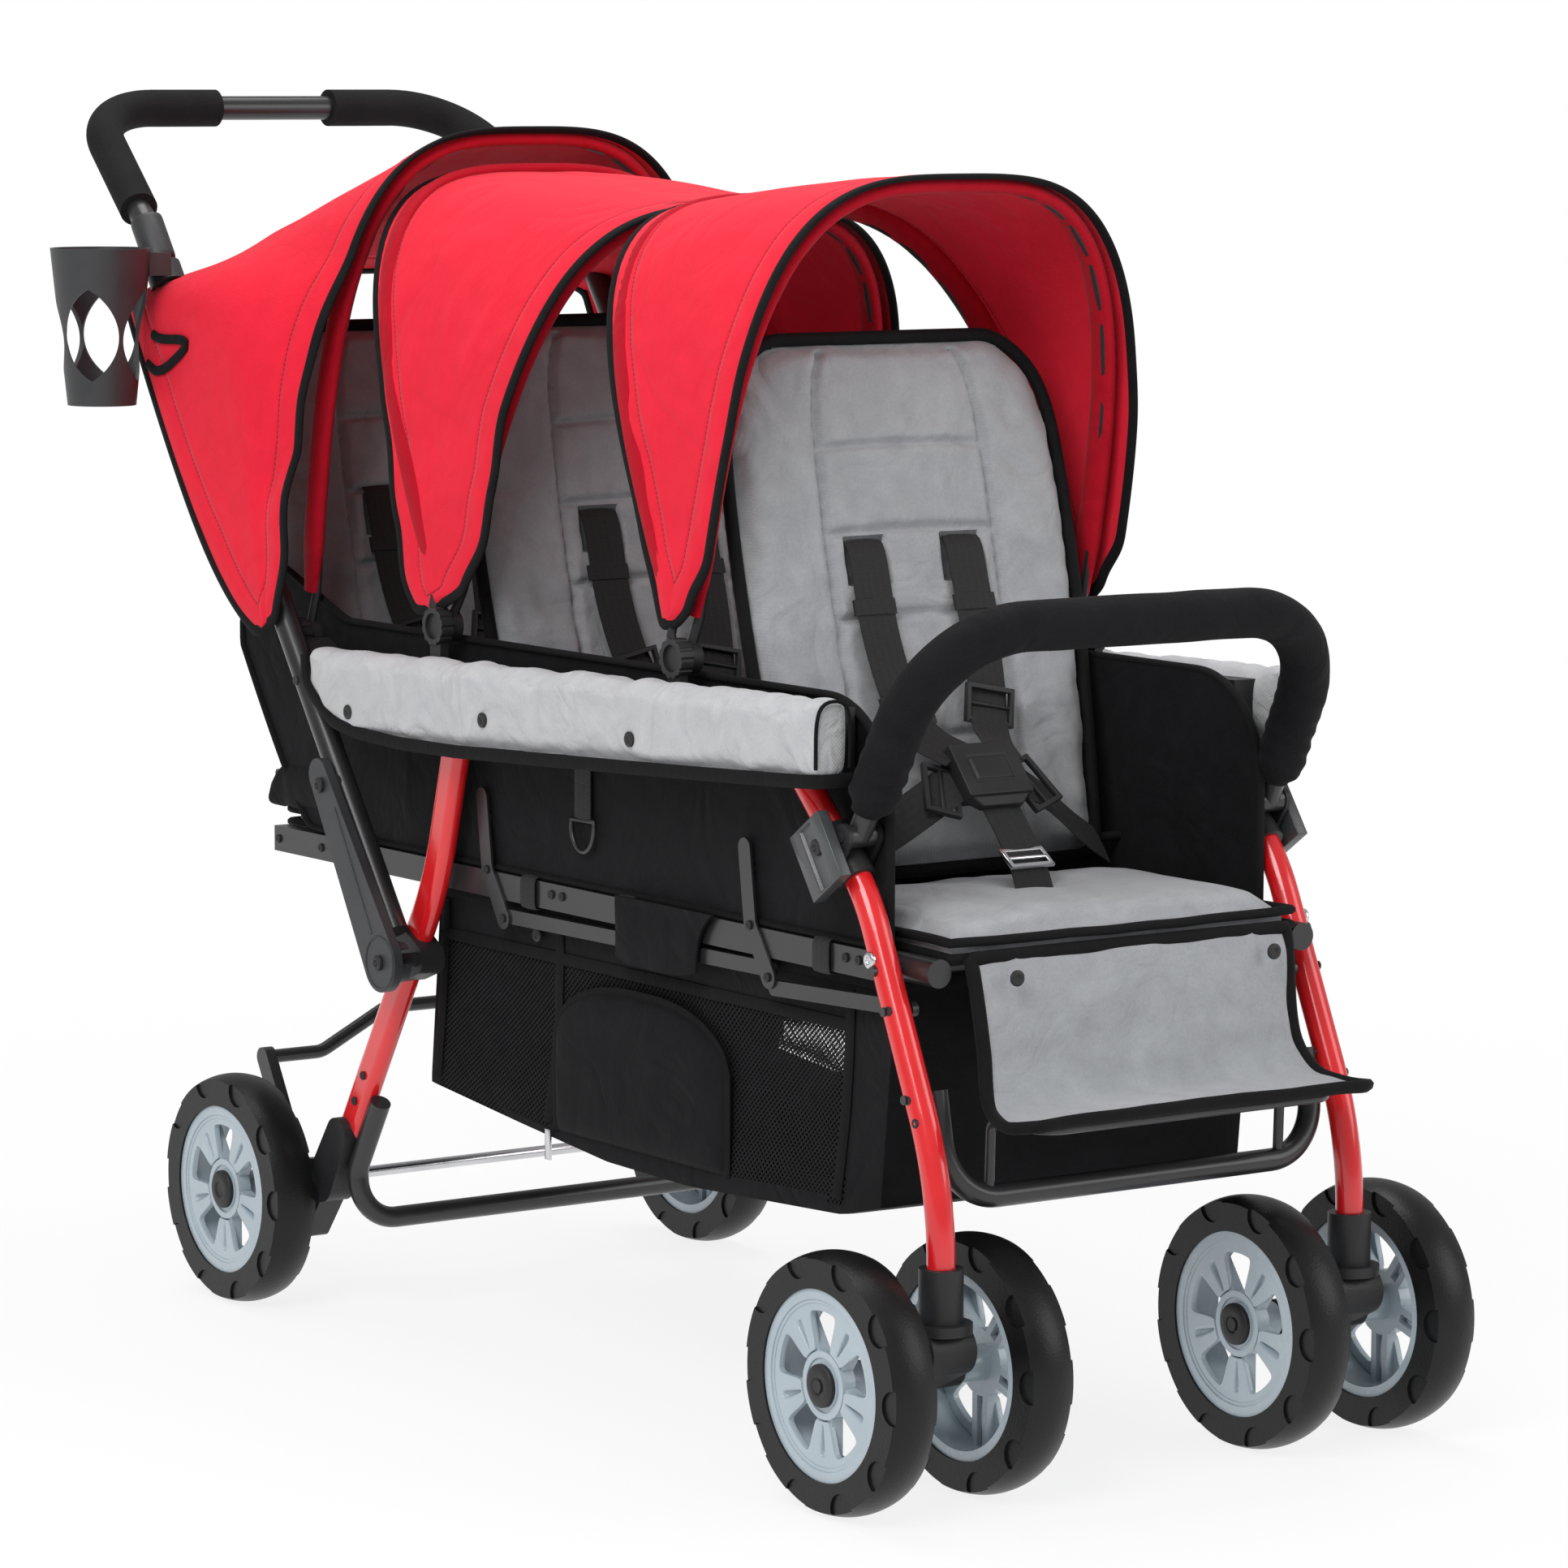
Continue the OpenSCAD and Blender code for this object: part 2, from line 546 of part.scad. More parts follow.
module front_bow(k) color(soft_black) {
  hub_x = [189, 199.5];
  bow(k, hems[k][0][0] - 1.2, front_bow_w, hems[k][0][1], [[193.5, 9]]);
  both_sides() difference() {
    pin_x(-hub_x[1], -hub_x[0], canopy_pivots[k], 13);
    pin_x(-hub_x[1] - 1, -hub_x[0] + 1, canopy_pivots[k], 4 + fit);
  }
}
module canopy_front_bow_front() front_bow(0);
module canopy_front_bow_middle() front_bow(1);
module canopy_front_bow_rear() front_bow(2);

// Fixed hubs: a ribbed knob on a post, and the pin that the front hub turns on
module canopy_hubs_rear() color(black) both_sides() for (k = [0:2]) {
  knob_x = [200, 212];
  knob_r = 16;
  difference() {
    pin_x(-knob_x[1], -knob_x[0], canopy_pivots[k], knob_r);
    pin_x(-knob_x[1] - 1, -knob_x[1] + 3, canopy_pivots[k], knob_r - 5);
    for (a = [0:30:330]) pin_x(-knob_x[1] - 1, -knob_x[0] + 1,
      canopy_pivots[k] + (knob_r + 1.2) * [cos(a), sin(a)], 2.4);
    if (k == 2) plate(-knob_x[1] - 1, -knob_x[0] + 1) rear_lug(fit);
  }
  pin_x(-knob_x[1] + 3, -hanger_x[0], canopy_pivots[k], 4);
  if (k < 2) plate(-209, -201) {
    from = canopy_pivots[k][0] - 8;
    base = mix(core_outline[1][1], core_outline[2][1], (from - core_outline[1][0]) / 568);
    translate([from, base]) square([16, canopy_pivots[k][1] - base]);
  }
}

// Bumper bar: clamps on the front legs, hinged tube and its padded cover
module bumper_clamps() color(soft_black) both_sides() difference() {
  along = unit(front_leg_path[3] - front_leg_path[2]);
  middle = bumper_pivot + 24 * [along[1], -along[0]];
  union() {
    bar(side(-front_leg_x, middle - 24 * along), side(-front_leg_x, middle + 24 * along)) circle(14.5);
    for (x = [-front_leg_x - 16, -front_leg_x + 12])
      plate(x, x + 4) taper(middle, 14, bumper_pivot, 10);
    pin_x(-front_leg_x - 17, -front_leg_x + 16, bumper_pivot, 4);
  }
  front_leg_tube(2 * fit);
}
bumper_top = [-616, 660];
bumper_top_x = 190;
bumper_corner = 88;
bumper_path = loop([side(-front_leg_x, bumper_pivot), side(-bumper_top_x, bumper_top)]);
module bumper_bar() color(black) difference() {
  union() {
    sweep(bumper_path, [bumper_corner, bumper_corner]) circle(bumper_r);
    both_sides() pin_x(-front_leg_x - 11.5, -front_leg_x + 11.5, bumper_pivot, 9);
  }
  pin_x(-250, 250, bumper_pivot, 4 + fit);
}
module bumper_cover() color(black) {
  start = bumper_path[0] + 26 * unit(bumper_path[1] - bumper_path[0]);
  sweep(loop([start, bumper_path[1]]), [bumper_corner, bumper_corner])
    difference() {
      circle(bumper_cover_r);
      circle(bumper_r + fit);
    }
}

// Rear frame: flattened legs, the posts that the handle hooks on, crossbar, axle and wheel arms
rear_leg_path = [rear_leg_top, rear_leg_knee, rear_leg_foot];
module rear_leg_tube(clearance = 0) sweep([for (p = rear_leg_path) side(-rear_leg_x, p)], [rear_leg_bend])
  obround(rear_leg_depth + 2 * clearance, rear_leg_w + 2 * clearance);
module rear_legs() color(red) both_sides() difference() {
  rear_leg_tube();
  pin_x(-rear_leg_x - 20, -rear_leg_x + 20, rear_pivot, 5 + fit);
}
module latch_posts() color(black) both_sides() {
  base_x = [190.5, 213];
  difference() {
    plate(-base_x[1], -base_x[0]) taper(latch_pin, 13, latch_pin + [26, 2], 24);
    rear_leg_tube(fit);
  }
  pin_x(-238, -base_x[1], latch_pin, 6);
}
module rear_crossbar(clearance = 0) color(black) {
  tube_r = 9;
  down = unit(rear_leg_foot - rear_leg_knee);
  ahead = [down[1], -down[0]];
  top = rear_leg_foot - 105 * down + (rear_leg_depth / 2 + tube_r) * ahead;
  low = rear_leg_foot - 30 * down + (rear_leg_depth / 2 + tube_r) * ahead;
  base = low + [-6, -44];
  sweep(loop([for (p = [top, low, base]) side(-rear_leg_x, p)]), [22, 34, 34, 22])
    circle(tube_r + clearance);
}
module rear_axle() color(steel) pin_x(-262, 262, rear_axle_at, 5);
module rear_wheel_arms() color(black) both_sides() difference() {
  arm_x = [192, 216];
  down = unit(rear_leg_foot - rear_leg_knee);
  union() {
    plate(-arm_x[1], -arm_x[0]) {
      taper(rear_leg_foot - 50 * down, 15.5, rear_leg_foot, 19);
      taper(rear_leg_foot, 19, rear_axle_at, 20);
      taper(rear_leg_foot + [12, -12], 13, [273, 71], 9);
    }
    pin_x(-222.3, -arm_x[1], rear_axle_at, 12);
  }
  rear_leg_tube(fit);
  rear_crossbar(2 * fit);
  pin_x(-300, -150, rear_axle_at, 5 + fit);
  // Weight-saving hollow on the outer face of the arm
  plate(-arm_x[1] - 1, -arm_x[1] + 7) taper(rear_leg_foot + [18, -3], 10, rear_axle_at - [30, -4], 10);
}

// Brake: a foot rod on two arms that turn on the axle
module brake_bar() color(black) {
  arm_x = [176, 186];
  rod_r = 6;
  tip = [391, 201];
  both_sides() difference() {
    plate(-arm_x[1], -arm_x[0]) {
      taper(rear_axle_at, 17, mix(rear_axle_at, tip, 0.45), 9);
      taper(mix(rear_axle_at, tip, 0.45), 9, tip, 9);
    }
    pin_x(-200, -150, rear_axle_at, 5 + fit);
  }
  sweep(loop([side(-arm_x[1] + 3, tip), side(-125, tip), side(-58, tip + [0, 34])]), [25, 25, 25, 25])
    circle(rod_r);
}

// Handle: side tubes that turn on the armrests, push bar, grips, hooks and cup holder
module handle_tubes() color(black) both_sides() difference() {
  bar(side(-handle_x, handle_foot_at), side(-handle_x, handle_joint)) circle(handle_r);
  pin_x(-handle_x - 20, -handle_x + 20, handle_pivot, handle_pin_r + fit);
}
handle_corner = side(-handle_top_x, handle_top);
module handle_bar() color(black) sweep(
  loop([side(-handle_x, handle_joint), side(-handle_x, handle_bend), handle_corner]),
  [handle_bend_r, handle_corner_r, handle_corner_r, handle_bend_r]) circle(handle_r);
module handle_grips() color(soft_black) both_sides() {
  bare = 40;
  bend = side(-handle_x, handle_bend);
  sweep([bend + bare * unit(handle_corner - bend), handle_corner, side(-60, handle_top)], [handle_corner_r])
    difference() {
      circle(grip_r);
      circle(handle_r + fit);
    }
}
// Tapered arm riveted to each tube, ending in an open hook over the latch pin
module handle_feet() color(soft_black) both_sides() difference() {
  plate_x = [239, 247];
  mouth = unit([-0.93, 0.36]);
  slot_w = 13;
  union() {
    plate(-plate_x[1], -plate_x[0]) taper(latch_pin, 25, foot_rivet + 10 * unit(foot_rivet - latch_pin), 14);
    pin_x(-plate_x[0], -226, latch_pin, 18);
    pin_x(-plate_x[0], -handle_x, foot_rivet, 9);
  }
  plate(-plate_x[0], -220) {
    translate(latch_pin) circle(slot_w / 2);
    translate(latch_pin) rotate(atan2(mouth[1], mouth[0])) translate([0, -slot_w / 2]) square([40, slot_w]);
  }
  bar(side(-handle_x, handle_foot_at - 36 * handle_along), side(-handle_x, handle_joint))
    circle(handle_r + fit);
}
module cup_clip(clearance = 0) {
  centre = handle_joint - 10 * handle_along;
  reach = 10 + clearance;
  arm = [22, 30, 20];
  room = clearance * [1, 1, 1];
  translate([cup_at[0] + 34, cup_at[1] - 26, cup_z[1] - 24] - room) cube(arm + 2 * room);
  bar(side(-handle_x, centre - reach * handle_along), side(-handle_x, centre + reach * handle_along))
    circle(16 + clearance);
}
module cup_holder() color(soft_black) {
  height = cup_z[1] - cup_z[0];
  difference() {
    union() {
      translate([cup_at[0], cup_at[1], cup_z[0]]) cylinder(h = height, r1 = cup_r[0], r2 = cup_r[1]);
      cup_clip();
    }
    translate([cup_at[0], cup_at[1], cup_z[0] + cup_wall])
      cylinder(h = height, r1 = cup_r[0] - cup_wall + 0.3, r2 = cup_r[1] - cup_wall + 0.3);
    // Four lens-shaped windows
    translate([cup_at[0], cup_at[1], cup_z[0] + 62]) for (a = [45:90:315]) rotate([90, 0, a]) intersection() {
      translate([-22, 0, 10]) cylinder(h = 60, r = 46);
      translate([22, 0, 10]) cylinder(h = 60, r = 46);
    }
    bar(side(-handle_x, handle_way[0]), side(-handle_x, handle_way[1])) circle(handle_r + fit);
  }
}

// Swivel caster: neck on the leg's spindle, ribbed body, axle for two wheels
caster_axle_at = [stem_y + caster_trail, wheel_r];
module caster_fork(s) color(black) {
  stem_x = s * front_leg_x;
  stem = [stem_y, front_leg_foot_z];
  half = 20;
  rib_side = unit([50, caster_trail]);
  difference() {
    union() {
      translate(side(stem_x, stem - [0, 4])) cylinder(h = 41, r = 17);
      translate(side(stem_x, stem - [0, 12])) cylinder(h = 8, r = 24);
      plate(stem_x - half, stem_x + half) {
        taper(stem - [0, 26], 19, caster_axle_at, 15.5);
        taper(stem - [-14, 8], 6, caster_axle_at + [24, 22], 5);
      }
      // Ribs along both faces of the body
      for (r = [-7, 0, 7]) plate(stem_x - half - 3, stem_x + half + 3)
        taper(stem - [0, 24] + r * rib_side, 1.5, caster_axle_at + [-5, 6] + r * rib_side, 1.5);
      pin_x(stem_x - 42.5, stem_x + 42.5, caster_axle_at, 15);
      pin_x(stem_x - 84.5, stem_x + 84.5, caster_axle_at, 5);
    }
    translate(side(stem_x, stem - [0, 0.3])) cylinder(h = 60, r = front_leg_r + fit);
  }
}
module caster_fork_left() caster_fork(1);
module caster_fork_right() caster_fork(-1);

// Wheels: tyre with rounded tread and shoulder lugs, spoked rim on a hub
module on_axle(x, at) translate([x, at[0], at[1]]) rotate([0, 90, 0]) children();
module tyre(x, at) color(black) on_axle(x, at) difference() {
  crown = 46;
  lug_r = 13;
  lug_depth = 2;
  rotate_extrude($fn = 96) intersection() {
    translate([rim_r, -wheel_w / 2]) square([wheel_r - rim_r + 1, wheel_w]);
    translate([wheel_r - crown, 0]) circle(crown);
  }
  for (s = [-1, 1], a = [0:lugs - 1]) rotate(360 / lugs * (a + (s > 0 ? 0 : 0.5)))
    translate([wheel_r - 6, 0, s * wheel_w / 2 - lug_depth]) cylinder(h = 2 * lug_depth, r = lug_r, $fn = 32);
}
// Outer face of the rim along s
module rim(x, at, s) color(rim_grey) on_axle(x, at) difference() {
  barrel = 8;
  hub_r = 26;
  spoke_w = 6;
  spoke_split = 13;
  union() {
    rotate_extrude($fn = 96) {
      translate([rim_r - barrel, -wheel_w / 2 + 2]) square([barrel - fit, wheel_w - 4]);
      translate([rim_r - barrel - 3, s * (wheel_w / 2 - 5) - 2]) square([5, 4]);
    }
    translate([0, 0, -wheel_w / 2 + 1]) cylinder(h = wheel_w - 2, r = 14);
    translate([0, 0, s * 10 - 6]) cylinder(h = 12, r = hub_r);
    for (i = [0:spokes - 1], t = [-1, 1]) rotate(360 / spokes * i)
      translate([hub_r - 6, t * spoke_split / 2 - spoke_w / 2, s * 9 - 5])
        cube([rim_r - barrel - hub_r + 7, spoke_w, 10]);
  }
  cylinder(h = 100, r = 5 + fit, center = true);
  // Ring groove in the hub face
  translate([0, 0, s * 16 - 1.5]) rotate_extrude() translate([18, 0]) square([3, 3]);
}
rear_wheel_x = 242.8;
module tyre_caster_left_outer() tyre(front_leg_x + caster_half_track, caster_axle_at);
module tyre_caster_left_inner() tyre(front_leg_x - caster_half_track, caster_axle_at);
module tyre_caster_right_outer() tyre(-front_leg_x - caster_half_track, caster_axle_at);
module tyre_caster_right_inner() tyre(-front_leg_x + caster_half_track, caster_axle_at);
module tyre_rear_left() tyre(rear_wheel_x, rear_axle_at);
module tyre_rear_right() tyre(-rear_wheel_x, rear_axle_at);
module rim_caster_left_outer() rim(front_leg_x + caster_half_track, caster_axle_at, 1);
module rim_caster_left_inner() rim(front_leg_x - caster_half_track, caster_axle_at, -1);
module rim_caster_right_outer() rim(-front_leg_x - caster_half_track, caster_axle_at, -1);
module rim_caster_right_inner() rim(-front_leg_x + caster_half_track, caster_axle_at, 1);
module rim_rear_left() rim(rear_wheel_x, rear_axle_at, 1);
module rim_rear_right() rim(-rear_wheel_x, rear_axle_at, -1);

front_legs();
front_crossbar();
armrests();
armrest_pads();
seat_rails();
lower_links();
seat_cross_tubes();
seat_pad_front();
seat_pad_middle();
seat_pad_rear();
calf_panel();
side_panels();
basket();
canopy_cover_front();
canopy_cover_middle();
canopy_cover_rear();
canopy_rear_bow_front();
canopy_rear_bow_middle();
canopy_hubs_rear();
canopy_front_bow_front();
canopy_front_bow_middle();
canopy_front_bow_rear();
lap_harnesses();
shoulder_harness_front();
shoulder_harness_middle();
shoulder_harness_rear();
seat_back_front();
seat_back_middle();
seat_back_rear();
bumper_clamps();
bumper_bar();
bumper_cover();
rear_legs();
latch_posts();
rear_crossbar();
rear_axle();
rear_wheel_arms();
brake_bar();
handle_tubes();
handle_bar();
handle_grips();
handle_feet();
cup_holder();
caster_fork_left();
caster_fork_right();
tyre_caster_left_outer();
tyre_caster_left_inner();
tyre_caster_right_outer();
tyre_caster_right_inner();
tyre_rear_left();
tyre_rear_right();
rim_caster_left_outer();
rim_caster_left_inner();
rim_caster_right_outer();
rim_caster_right_inner();
rim_rear_left();
rim_rear_right();
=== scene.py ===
import bpy
import bmesh
import json
import math
from mathutils import Matrix, Vector, noise


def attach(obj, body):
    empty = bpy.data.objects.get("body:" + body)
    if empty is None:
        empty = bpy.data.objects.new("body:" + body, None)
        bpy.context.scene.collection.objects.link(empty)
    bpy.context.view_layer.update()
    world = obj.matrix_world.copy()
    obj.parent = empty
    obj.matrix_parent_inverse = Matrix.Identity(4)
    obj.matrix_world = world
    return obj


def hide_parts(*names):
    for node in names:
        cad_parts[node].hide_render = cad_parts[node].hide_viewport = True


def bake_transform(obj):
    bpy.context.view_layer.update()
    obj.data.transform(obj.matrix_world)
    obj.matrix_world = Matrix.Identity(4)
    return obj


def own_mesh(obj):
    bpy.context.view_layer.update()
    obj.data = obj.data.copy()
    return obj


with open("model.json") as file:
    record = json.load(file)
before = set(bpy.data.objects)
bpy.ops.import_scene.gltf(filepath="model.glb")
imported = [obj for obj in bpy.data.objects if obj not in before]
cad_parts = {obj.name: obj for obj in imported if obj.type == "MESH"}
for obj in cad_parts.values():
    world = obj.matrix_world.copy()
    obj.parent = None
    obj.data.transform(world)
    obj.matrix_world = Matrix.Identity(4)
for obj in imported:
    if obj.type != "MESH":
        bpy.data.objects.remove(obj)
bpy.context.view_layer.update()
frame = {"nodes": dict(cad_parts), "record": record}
nodes = frame["nodes"]
upAxis = Vector((0, 0, 1))
sideAxis = Vector((1, 0, 0))
mm = 0.001  # Most settings are in millimetres, the scene is in metres
print("frame loaded with", len(nodes), "nodes")


# Small tools
def at(x, y, z):
    return Vector((x, y, z)) * mm


def mix(a, b, t):
    return a + (b - a) * t


def alongLine(points, value):
    # Height of a broken line at a value, level beyond its ends
    for (a, p), (b, q) in zip(points, points[1:]):
        if min(a, b) <= value <= max(a, b):
            return mix(p, q, (value - a) / (b - a))
    return points[0][1] if abs(value - points[0][0]) < abs(value - points[-1][0]) else points[-1][1]


def ease(t):
    t = min(1.0, max(0.0, t))
    return t * t * (3 - 2 * t)


def sind(angle):
    return math.sin(math.radians(angle))


def cosd(angle):
    return math.cos(math.radians(angle))


def activate(obj):
    bpy.ops.object.select_all(action="DESELECT")
    obj.select_set(True)
    bpy.context.view_layer.objects.active = obj


def applyModifier(obj, kind, **settings):
    activate(obj)
    modifier = obj.modifiers.new(kind.lower(), kind)
    for key, value in settings.items():
        setattr(modifier, key, value)
    bpy.ops.object.modifier_apply(modifier=modifier.name)


def smoothShade(obj, angle=40):
    activate(obj)
    bpy.ops.object.shade_smooth_by_angle(angle=math.radians(angle))


def meshPiece(name, points, faces):
    mesh = bpy.data.meshes.new(name)
    mesh.from_pydata([tuple(p) for p in points], [], faces)
    mesh.update()
    obj = bpy.data.objects.new(name, mesh)
    bpy.context.scene.collection.objects.link(obj)
    return obj


def recalculate(obj, merge=1e-6):
    # Merge doubles, then turn every face outwards
    tool = bmesh.new()
    tool.from_mesh(obj.data)
    bmesh.ops.remove_doubles(tool, verts=tool.verts, dist=merge)
    bmesh.ops.recalc_face_normals(tool, faces=tool.faces)
    tool.to_mesh(obj.data)
    tool.free()
    obj.data.update()


def gridPiece(name, rows, ring=False, caps=False):
    # Cloth of equal rows of points; its UV map follows the surface in metres
    count = len(rows[0])
    wide = count if ring else count - 1
    across = [0.0]
    middle = rows[len(rows) // 2]
    for j in range(wide):
        across.append(across[-1] + (middle[(j + 1) % count] - middle[j]).length)
    along = [0.0]
    for i in range(len(rows) - 1):
        steps = [(rows[i + 1][j] - rows[i][j]).length for j in range(0, count, max(1, count // 8))]
        along.append(along[-1] + sum(steps) / len(steps))
    faces = []
    places = []
    for i in range(len(rows) - 1):
        for j in range(wide):
            k = (j + 1) % count
            faces.append((i * count + j, i * count + k, (i + 1) * count + k, (i + 1) * count + j))
            for a, b in ((i, j), (i, j + 1), (i + 1, j + 1), (i + 1, j)):
                places += [across[b] - across[-1] / 2, along[a]]
    if caps:
        faces.append(tuple(range(count)))
        faces.append(tuple(reversed(range((len(rows) - 1) * count, len(rows) * count))))
        places += [0.0, 0.0] * (2 * count)
    obj = meshPiece(name, [p for row in rows for p in row], faces)
    obj.data.uv_layers.new(name="cloth").data.foreach_set("uv", places)
    return obj


def pathFrames(points, loop=False, start=None):
    # Direction, side and normal at each point of a path, turning as little as possible
    last = len(points) - 1
    frames = []
    normal = start
    for i in range(last + 1):
        if loop:
            along = points[(i + 1) % (last + 1)] - points[i - 1]
        else:
            along = points[min(last, i + 1)] - points[max(0, i - 1)]
        along = along.normalized()
        if normal is None:
            normal = along.orthogonal()
        normal = (normal - along * normal.dot(along)).normalized()
        frames.append((along, along.cross(normal), normal))
    return frames


def roundSection(width, thick, count=12, square=2.0):
    # Oval or boxy closed outline, width by thickness
    spots = []
    for i in range(count):
        a = 2 * math.pi * (i + 0.5) / count
        c, s = math.cos(a), math.sin(a)
        q = (abs(c) ** square + abs(s) ** square) ** (-1 / square)
        spots.append((c * q * width / 2, s * q * thick / 2))
    return spots


def sweepPiece(name, points, section, loop=False, start=None, frames=None, scale=None):
    # Section of (side, normal) offsets carried along a path
    frames = frames or pathFrames(points, loop, start)
    rows = []
    for i, p in enumerate(points):
        grow = scale[i] if scale else 1.0
        rows.append([p + frames[i][1] * a * grow + frames[i][2] * b * grow for a, b in section])
    if loop:
        rows.append(list(rows[0]))
    obj = gridPiece(name, rows, ring=True, caps=not loop)
    recalculate(obj)
    smoothShade(obj, 60)
    return obj


def resample(points, step):
    # Evenly spaced points along a polyline
    lengths = [0.0]
    for a, b in zip(points, points[1:]):
        lengths.append(lengths[-1] + (b - a).length)
    count = max(2, round(lengths[-1] / step))
    spots = []
    k = 0
    for i in range(count + 1):
        want = lengths[-1] * i / count
        while k < len(points) - 2 and lengths[k + 1] < want:
            k += 1
        span = max(1e-9, lengths[k + 1] - lengths[k])
        spots.append(points[k].lerp(points[k + 1], (want - lengths[k]) / span))
    return spots


def resampleRing(points, step):
    return resample(points + points[:1], step)[:-1]


def roundedPath(points, radii, step=0.004):
    # Polyline with round corners
    spots = [points[0]]
    for i in range(1, len(points) - 1):
        before = (points[i - 1] - points[i]).normalized()
        after = (points[i + 1] - points[i]).normalized()
        turn = math.pi - before.angle(after)
        cut = radii[i - 1] * math.tan(turn / 2)
        centre = points[i] + (before + after).normalized() * (radii[i - 1] / math.cos(turn / 2))
        first = points[i] + before * cut - centre
        last = points[i] + after * cut - centre
        arcSteps = max(4, int(math.degrees(turn) / 4))
        for k in range(arcSteps + 1):
            t = k / arcSteps
            spots.append(centre + first.slerp(last, t) * first.length if turn > 0.01 else points[i])
    spots.append(points[-1])
    return resample(spots, step)


def smoothLine(points, step=0.004, rounds=3):
    # Corner cutting for soft straps
    for _ in range(rounds):
        cut = [points[0]]
        for a, b in zip(points, points[1:]):
            cut += [a.lerp(b, 0.25), a.lerp(b, 0.75)]
        points = cut + [points[-1]]
    return resample(points, step)


def smoothRing(points, rounds):
    # Average each point of a closed line with its neighbours
    for _ in range(rounds):
        points = [(points[i - 1] + p * 2 + points[(i + 1) % len(points)]) / 4 for i, p in enumerate(points)]
    return points


def edgeRound(spot, wide, deep):
    # Points round a panel given by spot(u, v), with u from -1 to 1 and v from 0 to 1
    line = [spot(2 * i / wide - 1, 0) for i in range(wide)]
    line += [spot(1, i / deep) for i in range(deep)]
    line += [spot(1 - 2 * i / wide, 1) for i in range(wide)]
    return line + [spot(-1, 1 - i / deep) for i in range(deep)]


def twinOf(obj, name):
    # A copy starts without the marks of the piece it was taken from
    twin = obj.copy()
    twin.data = obj.data.copy()
    twin.name = name
    twin.data.name = name
    for key in [key for key in twin.keys() if key.startswith("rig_")]:
        del twin[key]
    bpy.context.scene.collection.objects.link(twin)
    return twin


def mirrored(obj, name):
    twin = twinOf(obj, name)
    twin.data.transform(Matrix.Diagonal((-1, 1, 1, 1)))
    twin.data.flip_normals()
    return twin


def copied(obj, name, shift=None, turn=None):
    twin = twinOf(obj, name)
    place = (Matrix.Translation(shift) if shift else Matrix()) @ (turn or Matrix())
    twin.data.transform(place)
    return twin


def joined(name, parts):
    bpy.ops.object.select_all(action="DESELECT")
    for part in parts:
        part.select_set(True)
    bpy.context.view_layer.objects.active = parts[0]
    bpy.ops.object.join()
    parts[0].name = name
    parts[0].data.name = name
    return parts[0]


def dress(obj, material, body=None, replaces=()):
    if material:
        obj.data.materials.clear()
        for m in material if isinstance(material, (list, tuple)) else [material]:
            obj.data.materials.append(m)
    if body:
        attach(obj, body)
    if replaces:
        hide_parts(*replaces)
    return obj


def dressPair(piece, finish, body):
    # A piece of the right side and its mirrored twin on the left
    twin = mirrored(piece, piece.name.replace("right", "left"))
    for one in (piece, twin):
        dress(one, finishes[finish], body)
    return piece, twin


def ripple(p, size, seed=0.0):
    return noise.noise(Vector((p[0] / size[0] + seed, p[1] / size[1], p[2] / size[2])))


# Shader node groups that several finishes share
def addNode(tree, kind, inputs=None, **settings):
    made = tree.nodes.new(kind)
    for key, value in settings.items():
        setattr(made, key, value)
    for key, value in (inputs or {}).items():
        if isinstance(value, bpy.types.NodeSocket):
            tree.links.new(value, made.inputs[key])
        else:
            made.inputs[key].default_value = value
    return made


def calc(tree, operation, a, b=0.5, c=0.5):
    return addNode(tree, "ShaderNodeMath", {0: a, 1: b, 2: c}, operation=operation).outputs[0]


def addNoise(tree, vector, scale, detail, **inputs):
    given = {"Vector": vector, "Scale": scale, "Detail": detail, **inputs}
    return addNode(tree, "ShaderNodeTexNoise", given).outputs[0]


def startGroup(name, inputs, outputs):
    tree = bpy.data.node_groups.new(name, "ShaderNodeTree")
    for label, kind, value in inputs:
        socket = tree.interface.new_socket(name=label, in_out="INPUT", socket_type=kind)
        if value is not None:
            socket.default_value = value
    for label in outputs:
        tree.interface.new_socket(name=label, in_out="OUTPUT", socket_type="NodeSocketFloat")
    return tree, tree.nodes.new("NodeGroupInput").outputs, tree.nodes.new("NodeGroupOutput").inputs


def weaveGroup():
    # Plain weave: threads over and under, with uneven yarn
    tree, given, out = startGroup("clothWeave", [("Vector", "NodeSocketVector", None),
        ("Threads", "NodeSocketFloat", 700.0)], ["Height", "Shade"])
    parts = addNode(tree, "ShaderNodeSeparateXYZ", {0: given["Vector"]}).outputs
    turn = calc(tree, "MULTIPLY", given["Threads"], math.pi)
    warp = calc(tree, "SINE", calc(tree, "MULTIPLY", parts[0], turn))
    weft = calc(tree, "SINE", calc(tree, "MULTIPLY", calc(tree, "ADD", parts[1], parts[2]), turn))
    cross = calc(tree, "MULTIPLY_ADD", calc(tree, "MULTIPLY", warp, weft), 0.5, 0.5)
    yarn = addNoise(tree, given["Vector"], 420.0, 2.0)
    height = calc(tree, "MULTIPLY_ADD", yarn, 0.5, calc(tree, "MULTIPLY", cross, 0.7))
    tree.links.new(height, out["Height"])
    broad = addNoise(tree, given["Vector"], 55.0, 4.0)
    shade = calc(tree, "MULTIPLY_ADD", broad, 0.55, calc(tree, "MULTIPLY", yarn, 0.45))
    tree.links.new(calc(tree, "MULTIPLY_ADD", cross, 0.18, shade), out["Shade"])
    return tree


